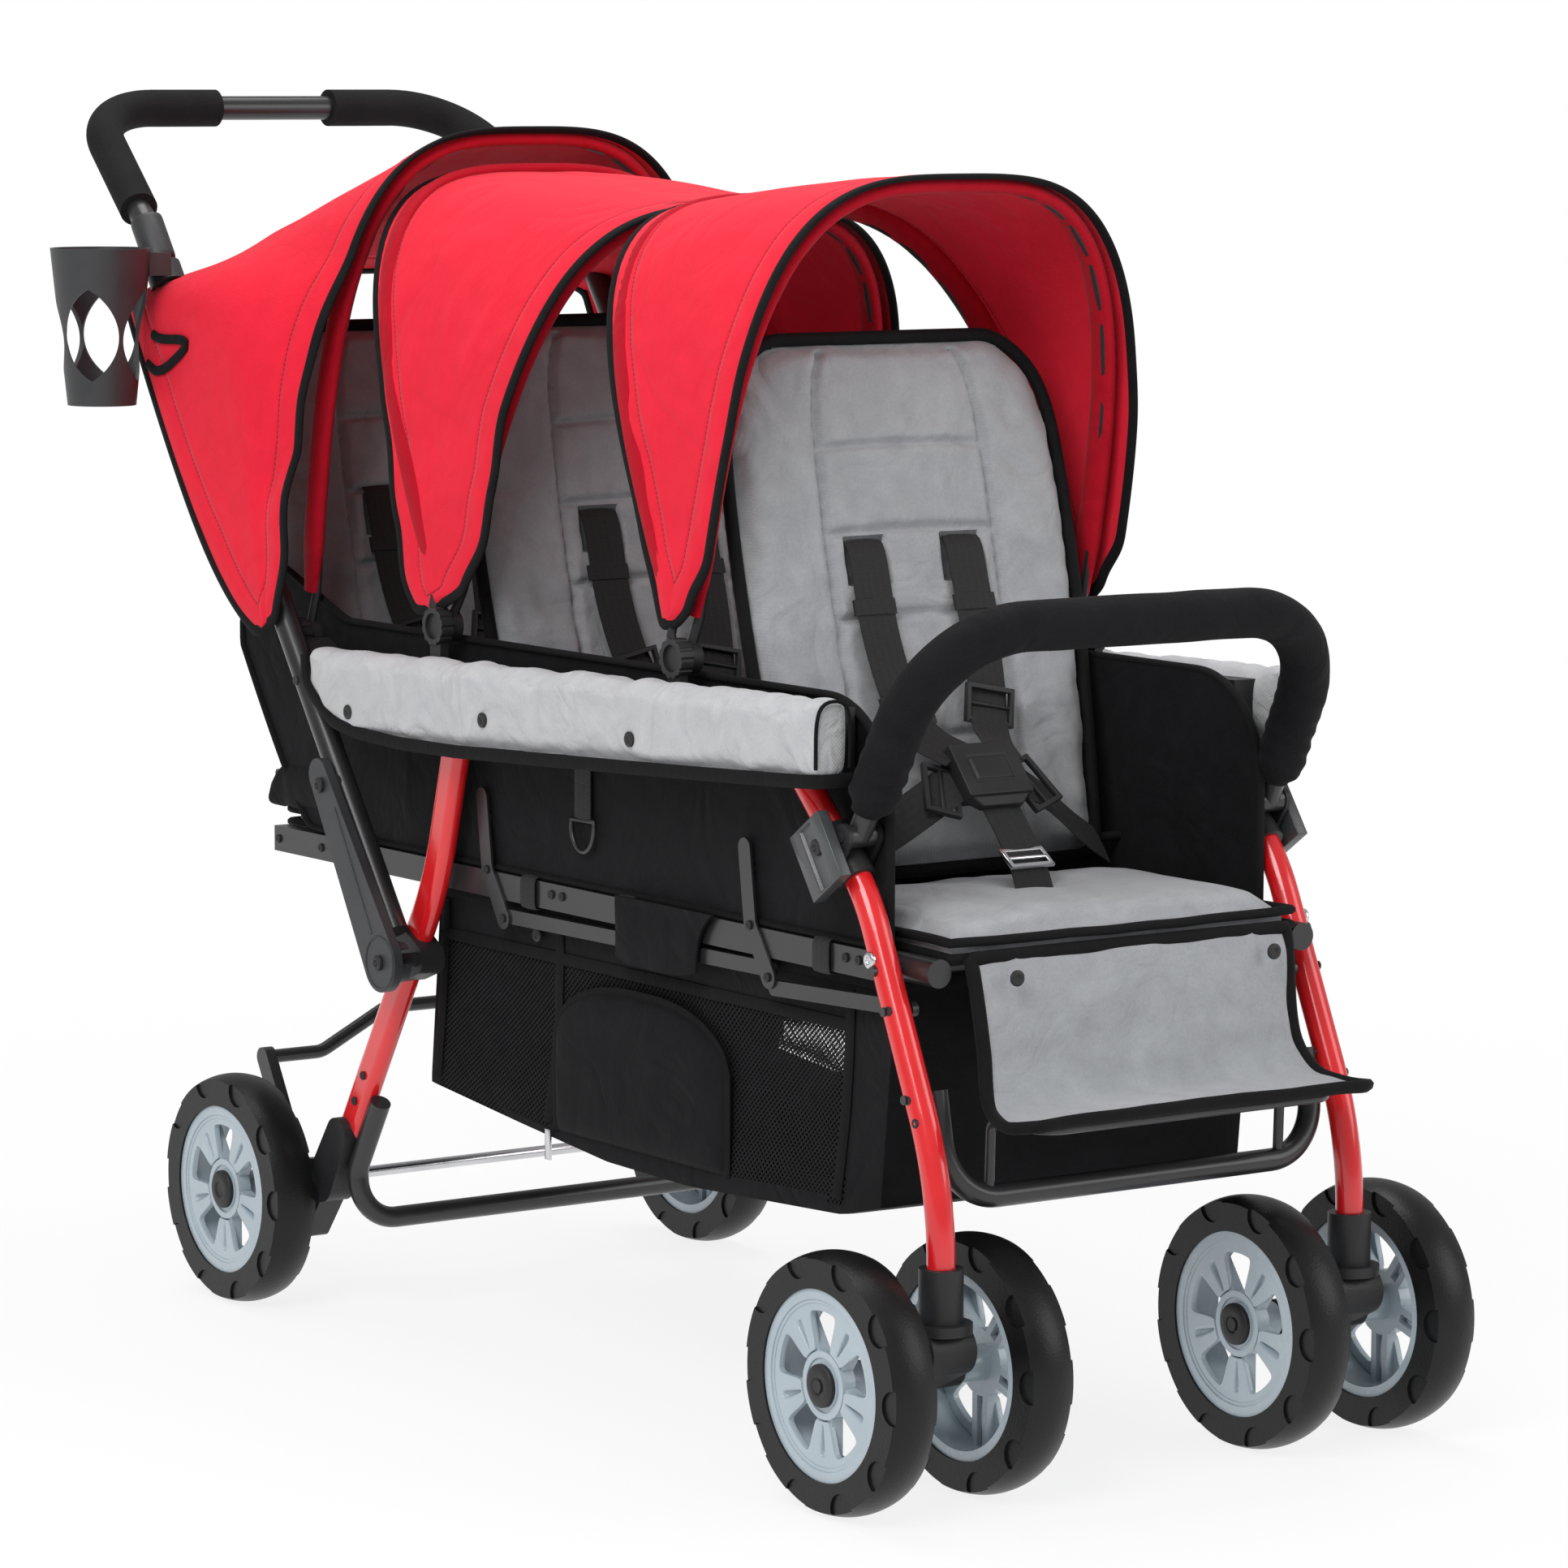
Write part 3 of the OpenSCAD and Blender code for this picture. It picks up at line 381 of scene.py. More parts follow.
def creaseGroup():
    # Soft hand wrinkles in stretched or padded cloth, and a mask of their hollows for painted shade
    tree, given, out = startGroup("clothCrease", [("Vector", "NodeSocketVector", None),
        ("Scale", "NodeSocketFloat", 14.0)], ["Height", "HollowShade"])
    bent = addNoise(tree, given["Vector"], given["Scale"], 3.0, Roughness=0.45, Distortion=1.4)
    closer = calc(tree, "MULTIPLY", given["Scale"], 3.1)
    fine = addNoise(tree, given["Vector"], closer, 2.0, Distortion=0.8)
    ridge = calc(tree, "ABSOLUTE", calc(tree, "SUBTRACT", bent, 0.5))
    height = calc(tree, "MULTIPLY_ADD", fine, 0.25, calc(tree, "MULTIPLY", ridge, 2.0))
    tree.links.new(height, out["Height"])
    # HollowShade marks the crease hollows, where the cloth colour gets painted shade
    tree.links.new(calc(tree, "SUBTRACT", 1.0, calc(tree, "MULTIPLY", ridge, 4.0)), out["HollowShade"])
    return tree


def grainGroup():
    # Moulded or painted surface: fine grain, flow marks and a little handling dust
    tree, given, out = startGroup("surfaceGrain", [("Vector", "NodeSocketVector", None),
        ("Scale", "NodeSocketFloat", 900.0)], ["Height", "Shade", "Rub"])
    fine = addNoise(tree, given["Vector"], given["Scale"], 3.0)
    pits = addNode(tree, "ShaderNodeTexVoronoi", {"Vector": given["Vector"],
        "Scale": calc(tree, "MULTIPLY", given["Scale"], 0.6)})
    broad = addNoise(tree, given["Vector"], 22.0, 5.0)
    tree.links.new(calc(tree, "MULTIPLY_ADD", pits.outputs[0], 0.4, fine), out["Height"])
    tree.links.new(broad, out["Shade"])
    rub = addNoise(tree, given["Vector"], 120.0, 6.0, Roughness=0.7)
    tree.links.new(calc(tree, "MULTIPLY", rub, broad), out["Rub"])
    return tree


def stitchGroup():
    # A row of stitches at a distance from a hem, with the pucker beside it
    tree, given, out = startGroup("stitchRow", [("Distance", "NodeSocketFloat", 0.0),
        ("Along", "NodeSocketFloat", 0.0), ("Offset", "NodeSocketFloat", 0.032)], ["Thread", "Pucker"])
    away = calc(tree, "ABSOLUTE", calc(tree, "SUBTRACT", given["Distance"], given["Offset"]))
    near = calc(tree, "LESS_THAN", away, 0.0009)
    beat = calc(tree, "SINE", calc(tree, "MULTIPLY", given["Along"], 1500.0))
    dash = calc(tree, "GREATER_THAN", beat, -0.7)
    tree.links.new(calc(tree, "MULTIPLY", near, dash), out["Thread"])
    fall = calc(tree, "MAXIMUM", calc(tree, "SUBTRACT", 1.0, calc(tree, "DIVIDE", away, 0.005)), 0.0)
    tree.links.new(calc(tree, "MULTIPLY", fall, fall), out["Pucker"])
    return tree


weave, crease, grain, stitch = weaveGroup(), creaseGroup(), grainGroup(), stitchGroup()


def startMaterial(name):
    material = bpy.data.materials.new(name)
    material.use_nodes = True
    tree = material.node_tree
    tree.nodes.clear()
    shader = addNode(tree, "ShaderNodeBsdfPrincipled")
    tree.links.new(shader.outputs[0], addNode(tree, "ShaderNodeOutputMaterial").inputs[0])
    return material, tree, shader


def useGroup(tree, group, inputs):
    return addNode(tree, "ShaderNodeGroup", inputs, node_tree=group).outputs


def twoTone(tree, share, dark, light):
    ramp = addNode(tree, "ShaderNodeValToRGB", {0: share})
    ramp.color_ramp.elements[0].position = 0.25
    ramp.color_ramp.elements[1].position = 0.8
    ramp.color_ramp.elements[0].color = (*dark, 1)
    ramp.color_ramp.elements[1].color = (*light, 1)
    return ramp.outputs[0]


def roughRange(tree, share, low, high):
    return calc(tree, "MULTIPLY_ADD", share, high - low, low)


def bump(tree, height, strength, distance):
    given = {"Height": height, "Strength": strength, "Distance": distance}
    return addNode(tree, "ShaderNodeBump", given).outputs[0]


def clothFinish(name, dark, light, threads, creases, depth, uv=False, rough=(0.7, 0.95), sheen=0.25,
                hems=False, holes=0.0):
    material, tree, shader = startMaterial(name)
    coords = addNode(tree, "ShaderNodeTexCoord").outputs
    place = coords["UV" if uv else "Object"]
    threadsOut = useGroup(tree, weave, {"Vector": place, "Threads": threads})
    wrinkles = useGroup(tree, crease, {"Vector": coords["Object"], "Scale": creases})
    colour = twoTone(tree, threadsOut["Shade"], dark, light)
    # Painted shade: the cloth colour is darkened in the crease hollows
    creaseShadedColour = addNode(tree, "ShaderNodeMix", {0: calc(tree, "MULTIPLY", wrinkles["HollowShade"], 0.18), 6: colour,
        7: (*[c * 0.6 for c in dark], 1)}, data_type="RGBA", clamp_factor=True).outputs[2]
    fold = calc(tree, "MULTIPLY", wrinkles["Height"], depth)
    fine = calc(tree, "MULTIPLY", threadsOut["Height"], 0.00022)
    height = calc(tree, "ADD", fold, fine)
    if hems:
        distance = addNode(tree, "ShaderNodeAttribute", attribute_name="hemDistance").outputs["Fac"]
        along = addNode(tree, "ShaderNodeSeparateXYZ", {0: coords["UV"]}).outputs[0]
        row = useGroup(tree, stitch, {"Distance": distance, "Along": along, "Offset": 0.031})
        creaseShadedColour = addNode(tree, "ShaderNodeMix", {0: calc(tree, "MULTIPLY", row["Thread"], 0.75), 6: creaseShadedColour,
            7: (*[c * 0.4 for c in dark], 1)}, data_type="RGBA").outputs[2]
        height = calc(tree, "SUBTRACT", height, calc(tree, "MULTIPLY", row["Pucker"], 0.0016))
    tree.links.new(creaseShadedColour, shader.inputs["Base Color"])
    tree.links.new(roughRange(tree, threadsOut["Shade"], *rough), shader.inputs["Roughness"])
    tree.links.new(bump(tree, height, 1.0, 1.0), shader.inputs["Normal"])
    shader.inputs["Sheen Weight"].default_value = sheen
    shader.inputs["Sheen Roughness"].default_value = 0.45
    shader.inputs["Specular IOR Level"].default_value = 0.08 + sheen
    if holes:
        # Open net of crossed cords on the piece's own UV map
        parts = addNode(tree, "ShaderNodeSeparateXYZ", {0: coords["UV"]}).outputs
        slants = [calc(tree, "SINE", calc(tree, "MULTIPLY", calc(tree, way, parts[0], parts[1]), holes))
                  for way in ("ADD", "SUBTRACT")]
        cords = calc(tree, "ABSOLUTE", calc(tree, "MULTIPLY", *slants))
        tree.links.new(calc(tree, "LESS_THAN", cords, 0.3), shader.inputs["Alpha"])
    return material


def hardFinish(name, dark, light, scale, depth, rough, metal=0.0, coat=0.0, rub=0.1, gloss=0.5):
    material, tree, shader = startMaterial(name)
    place = addNode(tree, "ShaderNodeTexCoord").outputs["Object"]
    surface = useGroup(tree, grain, {"Vector": place, "Scale": scale})
    colour = twoTone(tree, surface["Shade"], dark, light)
    rubbed = addNode(tree, "ShaderNodeMix", {0: calc(tree, "MULTIPLY", surface["Rub"], rub), 6: colour,
        7: (*[min(1.0, c * 1.5 + 0.04) for c in light], 1)}, data_type="RGBA", clamp_factor=True).outputs[2]
    tree.links.new(rubbed, shader.inputs["Base Color"])
    tree.links.new(roughRange(tree, surface["Rub"], *rough), shader.inputs["Roughness"])
    tree.links.new(bump(tree, surface["Height"], 1.0, depth), shader.inputs["Normal"])
    shader.inputs["Metallic"].default_value = metal
    shader.inputs["Specular IOR Level"].default_value = gloss
    shader.inputs["Coat Weight"].default_value = coat
    shader.inputs["Coat Roughness"].default_value = 0.12
    return material


def webbingFinish(name, dark, light):
    # Ribs across the strap, on its UV map
    material, tree, shader = startMaterial(name)
    coords = addNode(tree, "ShaderNodeTexCoord").outputs
    parts = addNode(tree, "ShaderNodeSeparateXYZ", {0: coords["UV"]}).outputs
    rib = calc(tree, "SINE", calc(tree, "MULTIPLY", parts[1], 3600.0))
    edge = calc(tree, "SINE", calc(tree, "MULTIPLY", parts[0], 900.0))
    yarn = addNoise(tree, coords["UV"], 260.0, 3.0)
    share = calc(tree, "MULTIPLY_ADD", rib, 0.2, calc(tree, "MULTIPLY_ADD", edge, 0.1, yarn))
    tree.links.new(twoTone(tree, share, dark, light), shader.inputs["Base Color"])
    tree.links.new(roughRange(tree, yarn, 0.55, 0.9), shader.inputs["Roughness"])
    tree.links.new(bump(tree, share, 0.8, 0.0005), shader.inputs["Normal"])
    shader.inputs["Sheen Weight"].default_value = 0.04
    return material


hardLooks = {
    "redPaint": {"dark": (0.66, 0.008, 0.012), "light": (0.74, 0.014, 0.018), "scale": 500.0,
        "depth": 0.00003, "rough": (0.16, 0.3), "coat": 0.6, "rub": 0.05},
    "blackPaint": {"dark": (0.012, 0.012, 0.013), "light": (0.02, 0.02, 0.021), "scale": 900.0,
        "depth": 0.00005, "rough": (0.28, 0.5), "coat": 0.15, "rub": 0.08},
    "blackPlastic": {"dark": (0.013, 0.013, 0.014), "light": (0.024, 0.024, 0.026), "scale": 1100.0,
        "depth": 0.00018, "rough": (0.4, 0.64), "gloss": 0.34},
    "armPlastic": {"dark": (0.022, 0.023, 0.025), "light": (0.036, 0.037, 0.04), "scale": 1000.0,
        "depth": 0.00015, "rough": (0.4, 0.62)},
    "steel": {"dark": (0.55, 0.55, 0.57), "light": (0.72, 0.72, 0.74), "scale": 1400.0, "depth": 0.00004,
        "rough": (0.14, 0.34), "metal": 1.0},
    "tyreRubber": {"dark": (0.006, 0.006, 0.0065), "light": (0.009, 0.009, 0.0095), "scale": 700.0,
        "depth": 0.00016, "rough": (0.3, 0.5), "rub": 0.05, "gloss": 0.26},
    "rimPlastic": {"dark": (0.36, 0.43, 0.48), "light": (0.43, 0.50, 0.55), "scale": 600.0, "depth": 0.00005,
        "rough": (0.22, 0.4), "coat": 0.2, "rub": 0.15},
    "gripFoam": {"dark": (0.008, 0.008, 0.0085), "light": (0.015, 0.015, 0.016), "scale": 620.0,
        "depth": 0.0006, "rough": (0.8, 0.98), "rub": 0.04, "gloss": 0.15},
    "clampPlastic": {"dark": (0.045, 0.05, 0.052), "light": (0.065, 0.071, 0.073), "scale": 800.0,
        "depth": 0.0001, "rough": (0.25, 0.42)},
}
clothLooks = {
    "greyCloth": {"dark": (0.28, 0.29, 0.307), "light": (0.39, 0.402, 0.418), "threads": 650.0,
        "creases": 11.0, "depth": 0.0035},
    "armrestCloth": {"dark": (0.42, 0.43, 0.45), "light": (0.54, 0.55, 0.565), "threads": 650.0,
        "creases": 16.0, "depth": 0.004},
    "blackCloth": {"dark": (0.0055, 0.0055, 0.0065), "light": (0.013, 0.013, 0.0145), "threads": 800.0,
        "creases": 12.0, "depth": 0.003, "rough": (0.6, 0.9), "sheen": 0.02},
    "bindingTape": {"dark": (0.005, 0.005, 0.0055), "light": (0.011, 0.011, 0.012), "threads": 1200.0,
        "creases": 40.0, "depth": 0.0006, "uv": True, "rough": (0.6, 0.9), "sheen": 0.02},
    "redCloth": {"dark": (0.72, 0.009, 0.030), "light": (0.84, 0.017, 0.045), "threads": 700.0,
        "creases": 7.0, "depth": 0.0035, "uv": True, "sheen": 0.08, "hems": True},
    # The canopy red painted darker, as shade, for the inner side of the canopies and the bow sleeves
    "shadedRedCloth": {"dark": (0.38, 0.002, 0.012), "light": (0.47, 0.005, 0.018), "threads": 700.0,
        "creases": 8.0, "depth": 0.004, "uv": True, "sheen": 0.05, "hems": True},
    "basketMesh": {"dark": (0.010, 0.010, 0.011), "light": (0.024, 0.024, 0.026), "threads": 480.0,
        "creases": 14.0, "depth": 0.001, "uv": True, "holes": 560.0, "sheen": 0.02},
    "slotCloth": {"dark": (0.075, 0.078, 0.084), "light": (0.12, 0.124, 0.13), "threads": 650.0,
        "creases": 20.0, "depth": 0.002},
}
finishes = {name: hardFinish(name, **look) for name, look in hardLooks.items()}
finishes.update({name: clothFinish(name, **look) for name, look in clothLooks.items()})
finishes["webbing"] = webbingFinish("webbing", (0.004, 0.004, 0.0045), (0.013, 0.013, 0.014))
cadFinish = {"red_paint": "redPaint", "black_paint": "blackPaint", "black_plastic": "blackPlastic",
    "foam": "gripFoam", "steel": "steel", "tyre": "tyreRubber", "rim_plastic": "rimPlastic"}
paleNodes = ("handle_feet", "cup_holder")  # Their black is a shade lighter
for part in frame["record"]["subparts"]:
    node, slot = part["node"], part["material_slot"]
    if slot in cadFinish:
        dress(nodes[node], finishes["armPlastic" if node in paleNodes else cadFinish[slot]])
print("finishes made:", len(finishes))


air = {"quality": 4, "mass": 0.3, "tension_stiffness": 12, "compression_stiffness": 12,
    "bending_stiffness": 0.4, "use_pressure": True}


# Padding: a voxel skin blown up by cloth pressure, each point held to a short way
def puff(obj, voxel, pressure, cap, frames=20):
    applyModifier(obj, "REMESH", mode="VOXEL", voxel_size=voxel)
    start = [(v.co.copy(), v.normal.copy()) for v in obj.data.vertices]
    activate(obj)
    cloth = obj.modifiers.new("air", "CLOTH")
    for key, value in air.items():
        setattr(cloth.settings, key, value)
    cloth.settings.uniform_pressure_force = pressure
    cloth.settings.effector_weights.gravity = 0
    cloth.collision_settings.use_collision = False
    cloth.point_cache.frame_start = 1
    cloth.point_cache.frame_end = frames
    for f in range(1, frames + 1):
        bpy.context.scene.frame_set(f)
    shaped = obj.evaluated_get(bpy.context.evaluated_depsgraph_get()).data
    moved = [v.co.copy() for v in shaped.vertices]
    obj.modifiers.remove(cloth)
    bpy.context.scene.frame_set(1)
    for v, (spot, out), b in zip(obj.data.vertices, start, moved):
        v.co = spot + out * min(cap, max(0.0, (b - spot).dot(out)))
    applyModifier(obj, "SMOOTH", factor=0.5, iterations=4)
    applyModifier(obj, "SUBSURF", levels=1, render_levels=1)
    activate(obj)
    bpy.ops.object.shade_smooth()


def shellPiece(name, spot, columns, rows):
    # Closed shell from spot(u, v, top) with u from -1 to 1 and v from 0 to 1
    points = []
    for top in (1, 0):
        for i in range(rows + 1):
            points += [spot(2 * j / columns - 1, i / rows, top) for j in range(columns + 1)]
    wide = columns + 1
    half = (rows + 1) * wide
    faces = []
    for i in range(rows):
        for j in range(columns):
            a = i * wide + j
            faces.append((a, a + 1, a + 1 + wide, a + wide))
            faces.append((half + a, half + a + wide, half + a + 1 + wide, half + a + 1))
    rim = list(range(columns)) + [i * wide + columns for i in range(rows)]
    rim += [rows * wide + j for j in range(columns, 0, -1)] + [i * wide for i in range(rows, 0, -1)]
    for a, b in zip(rim, rim[1:] + rim[:1]):
        faces.append((a, half + a, half + b, b))
    obj = meshPiece(name, points, faces)
    recalculate(obj)
    return obj


seatShift = (0, 385, 740)
seatNames = ("front", "middle", "rear")
seatBodies = ("back_front", "back_middle", "main_frame")
seatPad = {"half": 165, "front": -612, "depth": 220, "low": 410, "high": 437, "edge": 14, "pipe": 7.5,
    "pipeUp": (14, 2.5), "rearDepth": 1.15}


def seatPadSpot(u, v, top, inset=0.0):
    half = seatPad["half"] - inset - 5 * sind(180 * v)
    y = seatPad["front"] + inset + (seatPad["depth"] - 2 * inset) * v + (0.5 - v) * 14 * abs(u) ** 3
    crown = max(0, 1 - abs(u) ** 5) ** 0.6 * max(0, 1 - abs(2 * v - 1) ** 4) ** 0.6
    z = seatPad["low"]
    if top:
        z += seatPad["edge"] + (seatPad["high"] - seatPad["low"] - seatPad["edge"]) * crown
    return at(u * half, y, z)


pad = shellPiece("seat_cushion_front", lambda u, v, top: seatPadSpot(u, v, top, 4), 28, 20)
puff(pad, voxel=0.005, pressure=4.0, cap=0.007)
for v in pad.data.vertices:
    p = v.co * 1000
    if p.z > 424:
        # Folds that fan from the rear corners and a soft dip where the crotch strap pulls
        v.co.z += 0.0018 * ripple(p, (26, 70, 60)) * ease((p.z - 424) / 8)
        v.co.z -= 0.006 * math.exp(-((p.x / 30) ** 2 + ((p.y + 490) / 16) ** 2))
    v.co.z = max(v.co.z, 0.4101)
outline = edgeRound(lambda u, v: seatPadSpot(u, v, 0), 40, 28)
pipeSection = roundSection(0.0085, seatPad["pipe"] * mm, 8)
pipes = []
for up in seatPad["pipeUp"]:
    pipeLine = resample([p + at(0, 0, up + 0.8 * ripple(p * 1000, (40, 40, 40), up)) for p in outline], 0.006)
    pipes.append(sweepPiece("seat_piping", pipeLine, pipeSection, loop=True, start=upAxis))
pipe = joined("seat_piping_front", pipes)
for k, name in enumerate(seatNames):
    cushion, edge = pad, pipe
    if k > 0:
        # The rear cushion runs on under its seat back
        front = Matrix.Translation(at(0, seatPad["front"], 0))
        stretch = Matrix.Scale(seatPad["rearDepth"] if k == 2 else 1, 4, (0, 1, 0))
        longer = front @ stretch @ front.inverted()
        cushion = copied(pad, "seat_cushion_" + name, at(0, seatShift[k], 0), longer)
        edge = copied(pipe, "seat_piping_" + name, at(0, seatShift[k], 0), longer)
    dress(cushion, finishes["greyCloth"], "main_frame", ["seat_pad_" + name])
    dress(edge, finishes["bindingTape"], "main_frame")
print("seat cushions done")

seatBack = {"foot": (-384.6, 445), "lean": 13, "length": 428, "rearLength": 410, "thick": 26, "seams": 0.5,
    "rows": (0.24, 0.47, 0.63, 0.79), "seamDepth": 6.0, "seamWide": 3.4, "pipe": 10.5,
    "slotX": (27, 67), "slotV": (0.535, 0.625)}
backUp = Vector((0, sind(seatBack["lean"]), cosd(seatBack["lean"])))
backOut = Vector((0, -cosd(seatBack["lean"]), sind(seatBack["lean"])))
backFoot = at(0, *seatBack["foot"])


def backHalf(v):
    return 150 + 14 * sind(150 * v) - 46 * v ** 18


def backSpot(u, v, depth, length=seatBack["length"], inset=0.0):
    up = inset + (length - 2 * inset) * v
    return backFoot + at(u * (backHalf(v) - inset), 0, 0) + backUp * (up * mm) + backOut * (depth * mm)


def backShell(u, v, top):
    crown = max(0, 1 - abs(u) ** 6) ** 0.5 * max(0, 1 - abs(2 * v - 1) ** 10) ** 0.5
    return backSpot(u, v, -9 + 4 * crown if top else -seatBack["thick"] + 3, inset=3)


def inSlot(x, v):
    wide, high = seatBack["slotX"], seatBack["slotV"]
    return wide[0] < x < wide[1] and high[0] < v < high[1]


back = shellPiece("seat_rest_front", backShell, 30, 40)
puff(back, voxel=0.0055, pressure=4.0, cap=0.008)
for vertex in back.data.vertices:
    away = vertex.co - backFoot
    v = away.dot(backUp) * 1000 / seatBack["length"]
    u = away.x * 1000 / backHalf(min(1, max(0, v)))
    depth = away.dot(backOut) * 1000
    if depth < -15:
        continue
    half = backHalf(min(1, max(0, v)))
    upright = (abs(u) - seatBack["seams"]) * half
    press = math.exp(-((upright / seatBack["seamWide"]) ** 2)) * (1.0 if v < 0.975 else 0.0)
    tucks = 0.5 + 0.5 * math.sin(v * 190)
    for row in seatBack["rows"]:
        if abs(u) < seatBack["seams"] + 0.02:
            level = (v - row) * seatBack["length"] - 3 * math.cos(u * 3)
            press = max(press, 0.85 * math.exp(-((level / seatBack["seamWide"]) ** 2)))
    side = 1.0 if abs(u) > seatBack["seams"] else 0.45
    fold = ripple((away.x * 1000, v * seatBack["length"] + away.x * 260, 0), (34, 24, 50), 3.0) * side
    fold += 0.6 * ripple((away.x * 1000 + v * 200, v * seatBack["length"], 0), (15, 46, 50), 8.0)
    if inSlot(abs(away.x) * 1000, v):
        press = max(press, 0.8)
    drop = (seatBack["seamDepth"] + 1.4 * tucks) * press - 2.9 * fold * (1 - press)
    vertex.co -= backOut * (drop * mm * ease((depth + 15) / 8))
edgeLine = [backSpot(-1, i / 60, -9) for i in range(60)]
edgeLine += [backSpot(-1 + 2 * i / 40, 1, -9) for i in range(40)]
edgeLine += [backSpot(1, 1 - i / 60, -9) for i in range(60)]
edgeLine += [backSpot(1 - 2 * i / 40, 0, -9) for i in range(41)]
edgeLine = smoothRing(edgeLine[:-1], 3)
backPipe = sweepPiece("seat_rest_piping_front", resampleRing(edgeLine, 0.006),
    roundSection(0.011, seatBack["pipe"] * mm, 8), loop=True, start=backOut.copy())
restCloths = [finishes[name] for name in ("greyCloth", "blackCloth", "slotCloth")]
for k, name in enumerate(seatNames):
    rest, edge = back, backPipe
    # The rear back is the same cut, a little shorter along its own lean
    share = seatBack["rearLength"] / seatBack["length"] if k == 2 else 1
    if k > 0:
        squeeze = Matrix.Scale(share, 4, backUp) @ Matrix.Translation(-backFoot)
        squeeze = Matrix.Translation(backFoot) @ squeeze
        rest = copied(back, "seat_rest_" + name, at(0, seatShift[k], 0), squeeze)
        edge = copied(backPipe, "seat_rest_piping_" + name, at(0, seatShift[k], 0), squeeze)
    dress(rest, restCloths, seatBodies[k], ["seat_back_" + name])
    tall = seatBack["length"] * share * mm
    for face in rest.data.polygons:
        away = face.center - backFoot - at(0, seatShift[k], 0)
        slotFace = inSlot(abs(away.x) * 1000, away.dot(backUp) / tall)
        face.material_index = 1 if away.dot(backOut) < -0.0105 else 2 if slotFace else 0
    dress(edge, finishes["bindingTape"], seatBodies[k])
print("seat backs done")

# Canopies: one curved sheet between two hems, bound in black all round
canopy = {"halfWidth": 204, "square": 3.3, "thick": 2.0, "columns": 112, "rows": 30, "crown": 4,
    "pivots": ((-298, 615), (58, 612), (289, 585)),
    "hems": (((13.8, 387), (-28.4, 399)), ((23, 379), (-28, 421)), ((7, 438), (-38, 385))),
    "starts": (3.9, 1.6, 1.5), "tape": 10.5, "tapeThick": 4.6,
    "leaves": ((((20, 16), (44, -4), (81, -20), (180, -20), (245, -16)), ((20, 12), (76, 6), (147, 0))),
        (((8, 20), (18, 4), (36, -22), (79, -36), (130, -29), (203, -12), (276, -12)),
            ((8, 34), (36, 40), (95, 26), (186, 6), (250, 0))),
        (((10, -4), (20, -18), (71, -27), (135, -13), (260, -12)), ((0, 0), (400, 0))))}
rearCanopy = {"wide": 240, "squareEnd": 8, "belly": 32, "extra": 3, "rows": 40, "room": (224, 242),
    "roomBy": 0.45, "tubeX": 224.5, "tubeFoot": (97.8, 352), "tubeAcross": (0.8115, 0.5843),
    "cover": 15, "flare": (178, 34)}


def archPoint(pivot, lean, width, height, square, angle):
    c, s = cosd(angle), sind(angle)
    q = (abs(c) ** square + max(s, 0) ** square) ** (-1 / square)
    rise = height * s * q
    return at(-width * c * q, pivot[0] - rise * sind(lean), pivot[1] + rise * cosd(lean))


def hemAngles(start):
    # Closer steps near both ends, where the hems curve most
    steps = [j / canopy["columns"] for j in range(canopy["columns"] + 1)]
    return [start + (180 - 2 * start) * (t - 0.11 * math.sin(2 * math.pi * t)) for t in steps]


def leafPoint(k, hem, point):
    # The sides of a hem swell away from the straight bow, most of all low down
    rise = math.hypot(point.y * 1000 - canopy["pivots"][k][0], point.z * 1000 - canopy["pivots"][k][1])
    table = canopy["leaves"][k][hem]
    swell = table[0][1] if rise < table[0][0] else table[-1][1]
    for (a, p), (b, q) in zip(table, table[1:]):
        if a <= rise < b:
            swell = mix(p, q, ease((rise - a) / (b - a)))
    side = min(1.0, abs(point.x) / (canopy["halfWidth"] * mm))
    return point + at(0, swell * side ** 6, 0)


def canopyHems(k):
    pivot = canopy["pivots"][k]
    (lean0, high0), (lean1, high1) = canopy["hems"][k]
    angles = hemAngles(canopy["starts"][k])
    if k < 2:
        return [[leafPoint(k, hem, archPoint(pivot, lean, canopy["halfWidth"], high, canopy["square"], a))
                 for a in angles] for hem, (lean, high) in enumerate(canopy["hems"][k])]
    front, rear = [], []
    for a in angles:
        low = min(a, 180 - a)
        share = 1 - ease((high0 * math.tan(math.radians(min(89, low))) - 90) / 170)
        width = mix(canopy["halfWidth"] + rearCanopy["extra"], rearCanopy["wide"], share)
        front.append(leafPoint(k, 0, archPoint(pivot, lean0, width, high0, canopy["square"], a)))
        lean = lean1 - rearCanopy["belly"] * (1 - sind(a)) ** 2
        rear.append(archPoint(pivot, lean, rearCanopy["wide"], high1, rearCanopy["squareEnd"], a))
    return front, rear


